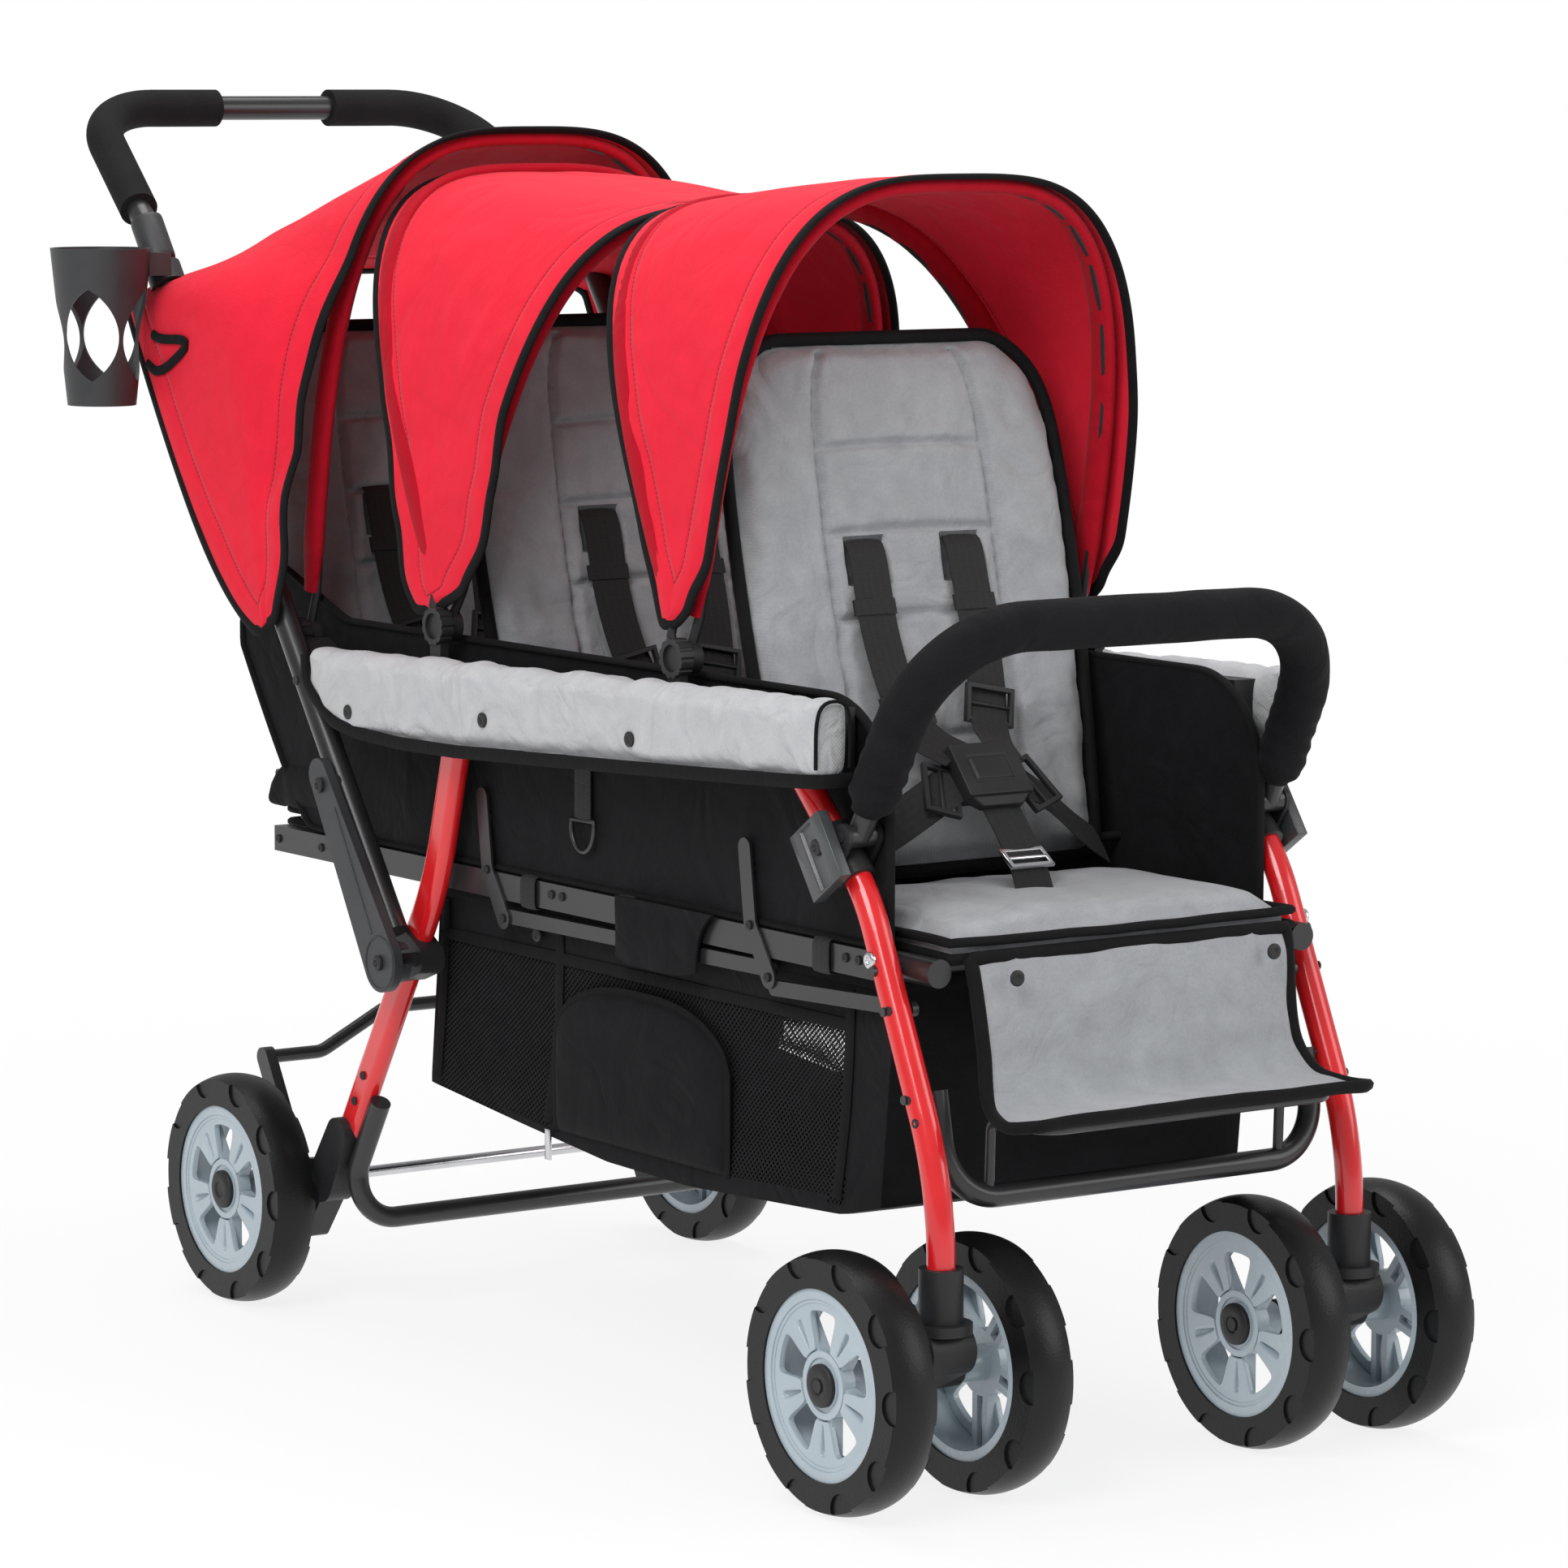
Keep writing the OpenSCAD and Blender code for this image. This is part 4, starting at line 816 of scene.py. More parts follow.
def canopySheet(k):
    front, rear = canopyHems(k)
    rows = rearCanopy["rows"] if k == 2 else canopy["rows"]
    last = len(front) - 1
    grid = []
    for i in range(rows + 1):
        t = i / rows
        lift = canopy["crown"] * math.sin(math.pi * t)
        grid.append([front[j].lerp(rear[j], t) + at(0, 0, lift * math.sin(math.pi * j / last))
                     for j in range(last + 1)])
    if k == 2:
        # The cloth lies over the handle tubes, with room for them when it is folded back
        footY, footZ = rearCanopy["tubeFoot"]
        acrossY, acrossZ = rearCanopy["tubeAcross"]
        cover, (inner, flare) = rearCanopy["cover"], rearCanopy["flare"]
        for i, row in enumerate(grid):
            room = mix(*rearCanopy["room"], ease(i / rows / rearCanopy["roomBy"]))
            for p in row:
                away = abs((p.y * 1000 - footY) * acrossY - (p.z * 1000 - footZ) * acrossZ)
                over = rearCanopy["tubeX"] + math.sqrt(max(0, cover ** 2 - min(away, cover) ** 2))
                over -= max(0, away - cover) * 0.5
                aside = abs(p.x) * 1000
                over = max(over, room, aside)
                p.x = math.copysign(mix(aside, over, ease((aside - inner) / flare)) * mm, p.x)
    sheet = gridPiece("canopy_cloth_" + seatNames[k], grid)
    hem = sheet.data.attributes.new("hemDistance", "FLOAT", "POINT")
    count = last + 1
    normals = [v.normal.copy() for v in sheet.data.vertices]
    if normals[(rows // 2) * count + count // 2].z < 0:
        sheet.data.flip_normals()
        normals = [-n for n in normals]
    for i in range(rows + 1):
        t = i / rows
        for j in range(count):
            index = i * count + j
            span = (rear[j] - front[j]).length
            hem.data[index].value = span * min(t, 1 - t)
            p = grid[i][j] * 1000
            loose = math.sin(math.pi * t) ** 0.7
            wave = 2.2 * ripple(p, (60, 150, 60), 5.0 * k) + 1.2 * ripple(p, (24, 70, 30), 9.0 + k)
            casing = 1.2 * math.exp(-((span * min(t, 1 - t) * 1000 - 15) / 9) ** 2)
            sheet.data.vertices[index].co += normals[index] * ((wave * loose + casing) * mm)
    boundary = [(0, j) for j in range(count)] + [(i, last) for i in range(1, rows + 1)]
    boundary += [(rows, j) for j in range(last - 1, -1, -1)] + [(i, 0) for i in range(rows - 1, 0, -1)]
    edge = [(sheet.data.vertices[i * count + j].co - normals[i * count + j] * mm, normals[i * count + j])
            for i, j in boundary]
    spots = smoothRing(resampleRing([p for p, n in edge], 0.005), 1)
    outs = smoothRing([min(edge, key=lambda pair: (pair[0] - p).length_squared)[1] for p in spots], 4)
    frames = []
    for i, n in enumerate(outs):
        along = (spots[(i + 1) % len(spots)] - spots[i - 1]).normalized()
        n = (n - along * n.dot(along)).normalized()
        frames.append((along, n.cross(along), n))
    # The tape reaches a little further in over the cloth than out
    reach = canopy["tape"] * 0.00012
    top = max(range(len(spots)), key=lambda i: spots[i].z)
    if frames[top][1].dot(grid[rows // 2][last // 2] - spots[top]) < 0:
        reach = -reach
    spots = [p + f[1] * reach for p, f in zip(spots, frames)]
    tape = sweepPiece("canopy_binding_" + seatNames[k], spots,
        roundSection(canopy["tape"] * mm, canopy["tapeThick"] * mm, 10, 3.0), loop=True, frames=frames)
    # The inner side of the sheet takes the second material, the red painted darker as shade
    applyModifier(sheet, "SOLIDIFY", thickness=canopy["thick"] * mm, offset=-1, material_offset=1,
        material_offset_rim=0, use_even_offset=False)
    smoothShade(sheet, 60)
    return sheet, tape, front, rear


canopySizes = {}
for k, name in enumerate(seatNames):
    sheet, tape, front, rear = canopySheet(k)
    half = len(front) // 2
    # A point on the middle line, close to the front hem
    end = rear[half].lerp(front[half], 0.97)
    # Outer side in red cloth, inner side in the same red painted darker as shade
    dress(sheet, [finishes["redCloth"], finishes["shadedRedCloth"]], None)
    dress(tape, finishes["bindingTape"], None)
    for piece in (sheet, tape):
        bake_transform(piece)
    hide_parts("canopy_cover_" + name)
    around = sum((a - b).length for a, b in zip(front, front[1:]))
    spans = [(a - b).length for a, b in zip(front, rear)]
    deep = max(spans)
    cut = sum((front[j] - front[j + 1]).length * 0.5 * (spans[j] + spans[j + 1])
              for j in range(len(front) - 1))
    canopySizes[name] = (round(around, 3), round(deep, 3), round(cut, 3))
print("canopies done", canopySizes)

# Sleeves sewn along the hems, with the bows inside them
sleeve = {"width": 26, "thick": 13, "inward": 6, "outward": 1.6, "first": 5, "bowIn": 12, "tilt": 1.2,
    "reach": (189, 197.7), "flat": 0.36}


def bowSleeve(k, hem):
    lean, high = canopy["hems"][k][hem]
    lean += (-1, 1)[hem] * sleeve["tilt"]
    low = at(0, *canopy["pivots"][k])
    plane = Vector((0, cosd(lean), sind(lean)))
    wide, tall = sleeve["reach"][hem], high - sleeve["bowIn"]
    line = [archPoint(canopy["pivots"][k], lean, wide, tall, canopy["square"], a)
            for a in range(sleeve["first"], 181 - sleeve["first"])]
    line = resample(line, 0.01)
    frames = []
    for p, (along, _, _) in zip(line, pathFrames(line)):
        away = plane.cross(along)
        frames.append((along, plane, away if away.dot(p - low) > 0 else -away))
    shift = sleeve["inward"] * (1, -1)[hem]
    line = [p + side * shift * mm + out * sleeve["outward"] * mm
            for p, (_, side, out) in zip(line, frames)]
    section = roundSection(sleeve["width"] * mm, sleeve["thick"] * mm, 14, 2.4)
    taper = [0.72 + 0.28 * ease(min(i, len(line) - 1 - i) / 5) for i in range(len(line))]
    name = "canopy_sleeve_%s_%s" % (("front", "rear")[hem], seatNames[k])
    return sweepPiece(name, line, section, frames=frames, scale=taper)


for k, name in enumerate(seatNames):
    for hem in (0, 1) if k < 2 else (0,):
        body = ("canopy_bow_" + name, "main_frame")[hem]
        # The sleeves take the red painted darker as shade
        casing = dress(bowSleeve(k, hem), finishes["shadedRedCloth"], body)
        if k < 2:
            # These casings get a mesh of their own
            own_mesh(casing)
print("sleeves done")

# Padded bumper cover, gathered at its ends
bumper = {"pivot": (198, -533, 500), "top": (190, -616, 660), "corner": 88, "skip": 21, "radius": 19.5,
    "sides": 28, "gather": 120}
foot = at(-bumper["pivot"][0], *bumper["pivot"][1:])
corner = at(-bumper["top"][0], *bumper["top"][1:])
foot += (corner - foot).normalized() * bumper["skip"] * mm
flip = Matrix.Diagonal((-1, 1, 1))
bumperLine = roundedPath([foot, corner, flip @ corner, flip @ foot], [bumper["corner"] * mm] * 2, 0.003)
bumperFrames = pathFrames(bumperLine, start=upAxis)
rows = []
total = len(bumperLine) - 1
for i, p in enumerate(bumperLine):
    near = min(i, total - i) * 3.0
    pull = 1 - ease(near / bumper["gather"])
    row = []
    for j in range(bumper["sides"]):
        a = 2 * math.pi * j / bumper["sides"]
        q = p * 1000
        folds = 0.9 * math.sin(near / 2.3 + 2 * math.sin(a))
        folds += 1.2 * ripple(q, (18, 18, 9), 2.0 + math.cos(a))
        soft = 0.7 * ripple(q + Vector((40 * math.cos(a), 0, 40 * math.sin(a))), (38, 38, 38), 7.0)
        r = bumper["radius"] * (1 - 0.38 * (1 - ease(near / 14))) + pull * folds + soft
        row.append(p + (bumperFrames[i][1] * math.cos(a) + bumperFrames[i][2] * math.sin(a)) * r * mm)
    rows.append(row)
bumperPad = gridPiece("bumper_padding", rows, ring=True, caps=True)
recalculate(bumperPad)
smoothShade(bumperPad, 60)
dress(bumperPad, finishes["blackCloth"], "bumper", ["bumper_cover"])

# Padded armrest sleeves with a bound lower edge
armrest = {"inner": 203, "outer": 239.5, "front": -535, "rear": 227, "topFront": 609, "topRear": 586,
    "turn": 168, "lowFront": 541, "lowTurn": 508, "lowRear": 547, "stations": 90, "around": 30,
    "pushed": 0.944}


def armrestShare(y, first, last):
    return (y - armrest[first]) / (armrest[last] - armrest[first])


def armrestLow(y):
    if y < armrest["turn"]:
        return mix(armrest["lowFront"], armrest["lowTurn"], armrestShare(y, "front", "turn"))
    return mix(armrest["lowTurn"], armrest["lowRear"], armrestShare(y, "turn", "rear"))


def armrestHigh(y):
    return mix(armrest["topFront"], armrest["topRear"], armrestShare(y, "front", "rear"))


def pushAlong(piece):
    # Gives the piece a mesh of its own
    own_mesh(piece)


rows = []
for i in range(armrest["stations"] + 1):
    y = mix(armrest["front"] + 4, armrest["rear"] - 4, i / armrest["stations"])
    low, high = armrestLow(y) + 3, armrestHigh(y) - 4
    middle = (armrest["inner"] + armrest["outer"]) / 2
    wide = (armrest["outer"] - armrest["inner"]) / 2 - 3
    rows.append([at(-middle + a, y, (low + high) / 2 + b)
                 for a, b in roundSection(2 * wide, high - low, armrest["around"], 4.5)])
armPad = gridPiece("armrest_sleeve_right", rows, ring=True, caps=True)
recalculate(armPad)
puff(armPad, voxel=0.005, pressure=4.0, cap=0.005)
for v in armPad.data.vertices:
    p = v.co * 1000
    share = ease((-p.x - 206) / 12)
    fold = 4.2 * ripple((p.y + 0.8 * p.z, p.z, 0), (34, 40, 50), 4.0)
    fold += 2.0 * ripple((p.y - 0.6 * p.z, p.z, 0), (15, 34, 50), 8.0)
    v.co.x -= mm * fold * share * ease((600 - p.z) / 40)
    v.co.z += 0.0008 * fold * ease((p.z - 575) / 15)
    v.co.x = max(v.co.x, -0.2405)
front, turn, rear = armrest["front"], armrest["turn"], armrest["rear"]
edge = [at(-206, front + 1, armrest["lowFront"] + 2), at(-232, front + 1, armrest["lowFront"] + 2),
    at(-238, front + 12, armrest["lowFront"] + 1), at(-238.5, -300, armrestLow(-300)),
    at(-238, turn - 20, armrestLow(turn) + 0.5), at(-237, rear - 3, armrest["lowRear"]),
    at(-236, rear, armrest["topRear"] - 10)]
edge = smoothLine(edge, 0.006, 2)
armTape = sweepPiece("armrest_binding", edge, roundSection(0.006, 0.0115, 8), start=upAxis)
arch = [at(-207, -533, 552), at(-207, -534, 590), at(-212, -533, 603), at(-231, -533, 603),
    at(-237.5, -532, 590), at(-237.5, -532, 552)]
archPipe = sweepPiece("armrest_end_piping", smoothLine(arch, 0.004, 2), roundSection(0.003, 0.003, 8))
armTape = joined("armrest_binding_right", [armTape, archPipe])
leftPad, leftTape = mirrored(armPad, "armrest_sleeve_left"), mirrored(armTape, "armrest_binding_left")
for pad, tape, stoodFor in ((armPad, armTape, ["armrest_pads"]), (leftPad, leftTape, ())):
    dress(pad, finishes["armrestCloth"], "main_frame", stoodFor)
    dress(tape, finishes["bindingTape"], "main_frame")
    pushAlong(pad)
    pushAlong(tape)
print("bumper and armrests done")

# Quilted calf panel with its foot flap
calf = {"path": ((-706, 299), (-690, 295.5), (-665, 295.5), (-644, 300), (-630, 320), (-624, 345),
    (-620, 370), (-616, 395), (-612.5, 412)), "thick": 7, "flapHalf": 174, "topHalf": 152, "corner": 20,
    "studs": (-124, 124)}
calfLine = smoothLine([at(0, *p) for p in calf["path"]], 0.003, 2)
calfUp = [f[0].cross(sideAxis) for f in pathFrames(calfLine)]


def calfSpot(u, v, top, proud=1.0):
    i = min(len(calfLine) - 1, int(round(v * (len(calfLine) - 1))))
    half = mix(calf["flapHalf"], calf["topHalf"], ease(v * 8 / 5)) - 4 * sind(180 * v)
    half -= calf["corner"] * max(0, 1 - v / 0.13) ** 2.2
    p = calfLine[i] + at(u * half, 0, 0)
    fold = 2.2 * ripple(p * 1000, (48, 30, 26), 6.0) + 1.1 * ripple(p * 1000, (17, 30, 40), 2.0)
    for stud in calf["studs"]:
        # A pleat runs down from each press stud
        fold += 2.0 * math.exp(-(((p.x * 1000 - stud * 0.92) / 5) ** 2)) * ease((p.z * 1000 - 335) / 50)
    swell = 1 - 0.55 * abs(u) ** 6 - 0.3 * abs(2 * v - 1) ** 8
    lift = (calf["thick"] * swell + fold) * proud if top else 0.3
    return p - calfUp[i] * lift * mm if calfUp[0].z < 0 else p + calfUp[i] * lift * mm


calfPanel = shellPiece("calf_quilt", calfSpot, 64, len(calfLine) - 1)
smoothShade(calfPanel, 60)
rim = resampleRing(edgeRound(lambda u, v: calfSpot(u, v, 1, 0.4), 60, 60), 0.006)
calfTape = sweepPiece("calf_binding", rim, roundSection(0.012, 0.0095, 8), loop=True)
dress(calfPanel, finishes["greyCloth"], "main_frame", ["calf_panel"])
dress(calfTape, finishes["bindingTape"], "main_frame")

# Cloth side walls between rail and armrest
wall = {"x": 179.3, "thick": 3.4, "front": -547, "rear": 428, "round": 80, "columns": 156, "rows": 30,
    "bulge": 4.5, "start": 520, "top": ((250, 600), (362, 640), (428, 590)), "low": 414, "rearLow": 566,
    "riseFrom": 312}


def wallTop(y):
    before = wall["front"] + wall["round"] - y
    if before > 0:
        return wall["start"] + math.sqrt(max(0, wall["round"] ** 2 - before ** 2))
    return alongLine(wall["top"], y)


def wallLow(y):
    share = max(0, (y - wall["riseFrom"]) / (wall["rear"] - wall["riseFrom"]))
    return mix(wall["low"], wall["rearLow"], share ** 1.15)


rows = []
for i in range(wall["rows"] + 1):
    t = i / wall["rows"]
    row = []
    for j in range(wall["columns"] + 1):
        y = mix(wall["front"], wall["rear"], j / wall["columns"])
        z = mix(wallLow(y), wallTop(y), t)
        swell = math.sin(math.pi * t) * math.sin(math.pi * j / wall["columns"]) ** 0.4
        fold = 2.2 * ripple((y + 0.35 * z, z, 0), (42, 70, 50), 1.0)
        fold += ripple((y - z, z, 0), (20, 30, 50), 5.0)
        row.append(at(-wall["x"] - (wall["bulge"] + fold) * swell * 0.8, y, z))
    rows.append(row)
wallRight = gridPiece("side_wall_right", rows)
if wallRight.data.polygons[200].normal.x > 0:
    wallRight.data.flip_normals()
wallEdge = [rows[0][j] for j in range(0, wall["columns"] + 1, 2)] + [r[-1] for r in rows[1:]]
wallEdge += [rows[-1][j] for j in range(wall["columns"] - 1, -1, -2)] + [r[0] for r in reversed(rows[1:-1])]
wallTape = sweepPiece("side_wall_binding_right", resampleRing(wallEdge, 0.007), roundSection(0.006, 0.009, 8),
    loop=True, start=sideAxis)
applyModifier(wallRight, "SOLIDIFY", thickness=wall["thick"] * mm, offset=-1)
smoothShade(wallRight, 60)
wallLeft, tapeLeft = mirrored(wallRight, "side_wall_left"), mirrored(wallTape, "side_wall_binding_left")
for cloth, tape, stoodFor in ((wallRight, wallTape, ["side_panels"]), (wallLeft, tapeLeft, ())):
    dress(cloth, finishes["blackCloth"], "main_frame", stoodFor)
    dress(tape, finishes["bindingTape"], "main_frame")
print("calf panel and side walls done")

# Basket: one sagging shell with mesh windows, a zipped pocket on each side
basket = {"half": 175, "top": 389, "front": ((389, -546), (357, -546), (211, -531)),
    "rear": ((389, 110), (360, 110), (216, 124)), "pull": 7, "sag": 7, "stations": 84, "down": 26,
    "across": 40, "floor": ((-531, 211), (-478, 198), (-270, 187), (-150, 188.5), (-20, 201), (124, 216)),
    "long": 655, "band": 347, "window": (-482, 106), "windowLow": 208, "tapes": (-482, -70, 104),
    "tapeFrom": -538, "bandFrom": -540}


def basketSide(f, s):
    floorY = mix(basket["floor"][0][0], basket["floor"][-1][0], f)
    z = mix(basket["top"], alongLine(basket["floor"], floorY), s)
    y = mix(alongLine(basket["front"], z), alongLine(basket["rear"], z), f)
    pull = basket["pull"] * math.sin(math.pi * min(1, s * 1.05)) * math.sin(math.pi * f) ** 0.5
    pull += 2.0 * ripple((y, z, 0), (40, 50, 50), 3.0) * math.sin(math.pi * f) * math.sin(math.pi * s)
    return at(-basket["half"] + max(0, pull), y, z)


rows = []
for i in range(basket["stations"] + 1):
    f = i / basket["stations"]
    leftSide = [basketSide(f, j / basket["down"]) for j in range(basket["down"] + 1)]
    below = []
    for j in range(1, basket["across"]):
        u = j / basket["across"]
        p = leftSide[-1].lerp(flip @ leftSide[-1], u)
        below.append(p - at(0, 0, basket["sag"] * math.sin(math.pi * u) * math.sin(math.pi * f)))
    rows.append(leftSide + below + [flip @ p for p in reversed(leftSide)])
shell = gridPiece("basket_cloth", rows)
ends = []
for first, name in ((rows[0], "front"), (rows[-1], "rear")):
    grid = []
    for j in range(basket["down"] + 1):
        a, b = first[j], first[len(first) - 1 - j]
        belly = (-1 if name == "front" else 1) * 5 * math.sin(math.pi * j / basket["down"])
        shares = [u / basket["across"] for u in range(basket["across"] + 1)]
        grid.append([a.lerp(b, t) + at(0, belly * math.sin(math.pi * t), 0) for t in shares])
    ends.append(gridPiece("basket_end_" + name, grid))
basketCloth = joined("basket_cloth", [shell] + ends)
recalculate(basketCloth, 0.0004)
if sum(f.normal.z * f.area for f in basketCloth.data.polygons if f.center.z < 0.215) > 0:
    basketCloth.data.flip_normals()
applyModifier(basketCloth, "SMOOTH", factor=0.4, iterations=2)
dress(basketCloth, [finishes["blackCloth"], finishes["basketMesh"]], "main_frame", ["basket"])
for face in basketCloth.data.polygons:
    y, z = face.center.y * 1000, face.center.z * 1000
    upright = abs(face.normal.x) > 0.7 and basket["windowLow"] < z < basket["band"]
    face.material_index = 1 if upright and basket["window"][0] < y < basket["window"][1] else 0
applyModifier(basketCloth, "SOLIDIFY", thickness=0.0012, offset=-1)
smoothShade(basketCloth, 50)
# Tapes around the rim, down the sides of the mesh windows and along their top
rimSide = [row[0] + at(0, 0, -3) for row in rows]
rimLine = resampleRing(rimSide + [flip @ p for p in reversed(rimSide)], 0.01)
tapes = [sweepPiece("basket_rim", rimLine, roundSection(0.004, 0.014, 8, 3), loop=True, start=upAxis)]
tapeLines = []
for y in basket["tapes"]:
    f = (y - basket["tapeFrom"]) / basket["long"]
    tapeLines.append((0.012, [basketSide(f, s / 30) for s in range(2, 29)]))
bandLine = []
for i in range(61):
    y = mix(*basket["window"], i / 60)
    s = (basket["top"] - basket["band"]) / (basket["top"] - alongLine(basket["floor"], y))
    bandLine.append(basketSide((y - basket["bandFrom"]) / basket["long"], s))
tapeLines.append((0.010, bandLine))
for wide, line in tapeLines:
    line = [p - at(1.2, 0, 0) for p in line]
    tape = sweepPiece("basket_tape", line, roundSection(wide, 0.0022, 8, 3), start=sideAxis)
    tapes += [tape, mirrored(tape, "basket_tape_left")]
dress(joined("basket_tapes", tapes), finishes["bindingTape"], "main_frame")

pocket = {"rear": -74, "front": -324, "low": 204, "shoulder": 285, "rise": 46, "proud": 10, "x": 170}


def pocketSpot(u, v, top):
    y = mix(pocket["rear"], pocket["front"], (u + 1) / 2)
    high = pocket["shoulder"] + pocket["rise"] * max(0, 1 - abs(u) ** 2.6) ** 0.6
    z = mix(pocket["low"], high, v)
    full = max(0, 1 - abs(u) ** 5) ** 0.5 * max(0, 1 - abs(2 * v - 1) ** 5) ** 0.5
    fold = 1.3 * ripple((y + 0.4 * z, z, 0), (34, 46, 50), 2.0) * full
    return at(-pocket["x"] - (4 + pocket["proud"] * full + fold if top else 0), y, z)


pouch = shellPiece("basket_pocket_right", pocketSpot, 50, 40)
smoothShade(pouch, 60)
zipLine = [pocketSpot(-1, v / 20, 1) for v in range(21)]
zipLine += [pocketSpot(-1 + u / 20, 1, 1) for u in range(1, 40)]
zipLine += [pocketSpot(1, 1 - v / 20, 1) for v in range(21)]
zipLine = resample([p - at(1.2, 0, 0) for p in zipLine], 0.005)
zipTape = sweepPiece("pocket_zip_right", zipLine, roundSection(0.0022, 0.009, 8, 3), start=Vector((0, 1, 0)))
for piece in dressPair(pouch, "blackCloth", "main_frame"):
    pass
dressPair(zipTape, "bindingTape", "main_frame")
print("basket done")

# Harness: webbing modelled directly, with adjusters, buckle and rings
harness = {"width": 36, "thick": 2.2, "buckle": (0, -428, 524), "lapEnd": (146, -388, 452),
    "shoulder": ((48, 0.625, -8), (48, 0.61, 4), (48, 0.54, 6), (49, 0.44, 9), (44, 0.32, 16),
        (34, 0.24, 24)), "keeper": ((49, 0.505, 6.6), (49, 0.49, 7.2), (49, 0.475, 7.8)),
    "slide": (40, 0.29, 21), "lap": ((24, 2, -2), (60, 2, -22), (100, 16, -50)), "give": (0.2, 0.34),
    "ring": (0, -481, 463), "crotch": ((0, -492, 438), (0, -484, 456), (0, -462, 484),
        (0, -436, 508))}


def strapPiece(name, points, width, start):
    section = roundSection(width * mm, harness["thick"] * mm, 8, 4.0)
    return sweepPiece(name, points, section, start=start)


def onBack(side, x, v, depth):
    return backFoot + at(side * x, 0, 0) + backUp * (v * seatBack["length"] * mm) + backOut * (depth * mm)


def editFaces(obj, test):
    # Select faces by their place or normal and stay in edit mode
    activate(obj)
    bpy.ops.object.mode_set(mode="EDIT")
    bpy.ops.mesh.select_mode(type="FACE")
    bpy.ops.mesh.select_all(action="DESELECT")
    bpy.ops.object.mode_set(mode="OBJECT")
    for face in obj.data.polygons:
        face.select = test(face)
    bpy.ops.object.mode_set(mode="EDIT")


def frameSlide(name, width, height, thick, bar):
    # Rectangular slide ring with a middle bar, lying in the XZ plane
    bpy.ops.object.select_all(action="DESELECT")
    bpy.ops.mesh.primitive_cube_add(size=1)
    obj = bpy.context.active_object
    obj.name = name
    obj.data.transform(Matrix.Diagonal((width * mm, thick * mm, height * mm, 1)))
    editFaces(obj, lambda f: abs(f.normal.y) > 0.9)
    bpy.ops.mesh.inset(thickness=0.004, use_individual=True)
    bpy.ops.mesh.bridge_edge_loops()
    bpy.ops.object.mode_set(mode="OBJECT")
    if bar:
        bpy.ops.mesh.primitive_cylinder_add(vertices=10, radius=0.0018, depth=width * mm - 0.003,
            rotation=(0, math.pi / 2, 0))
        rod = bpy.context.active_object
        bpy.ops.object.transform_apply(location=True, rotation=True, scale=True)
        obj = joined(name, [obj, rod])
    recalculate(obj)
    applyModifier(obj, "BEVEL", width=0.0008, segments=2, limit_method="ANGLE")
    smoothShade(obj, 40)
    return obj


def buckleBlock(name):
    # Moulded buckle with a raised press button and side release shoulders
    bpy.ops.object.select_all(action="DESELECT")
    bpy.ops.mesh.primitive_cube_add(size=1)
    obj = bpy.context.active_object
    obj.name = name
    obj.data.transform(Matrix.Diagonal((0.062, 0.017, 0.048, 1)))
    editFaces(obj, lambda f: f.normal.z < -0.9)
    bpy.ops.mesh.inset(thickness=0.003)
    bpy.ops.mesh.extrude_region_move(TRANSFORM_OT_translate={"value": (0, 0, -0.008)})
    bpy.ops.transform.resize(value=(0.7, 0.7, 1))
    bpy.ops.object.mode_set(mode="OBJECT")
    editFaces(obj, lambda f: f.normal.y < -0.9 and f.area > 0.0005)
    bpy.ops.mesh.inset(thickness=0.011)
    bpy.ops.mesh.inset(thickness=0.002, depth=-0.0015)
    bpy.ops.mesh.inset(thickness=0.0015, depth=0.0026)
    bpy.ops.object.mode_set(mode="OBJECT")
    applyModifier(obj, "BEVEL", width=0.0022, segments=3, limit_method="ANGLE")
    smoothShade(obj, 40)
    return obj


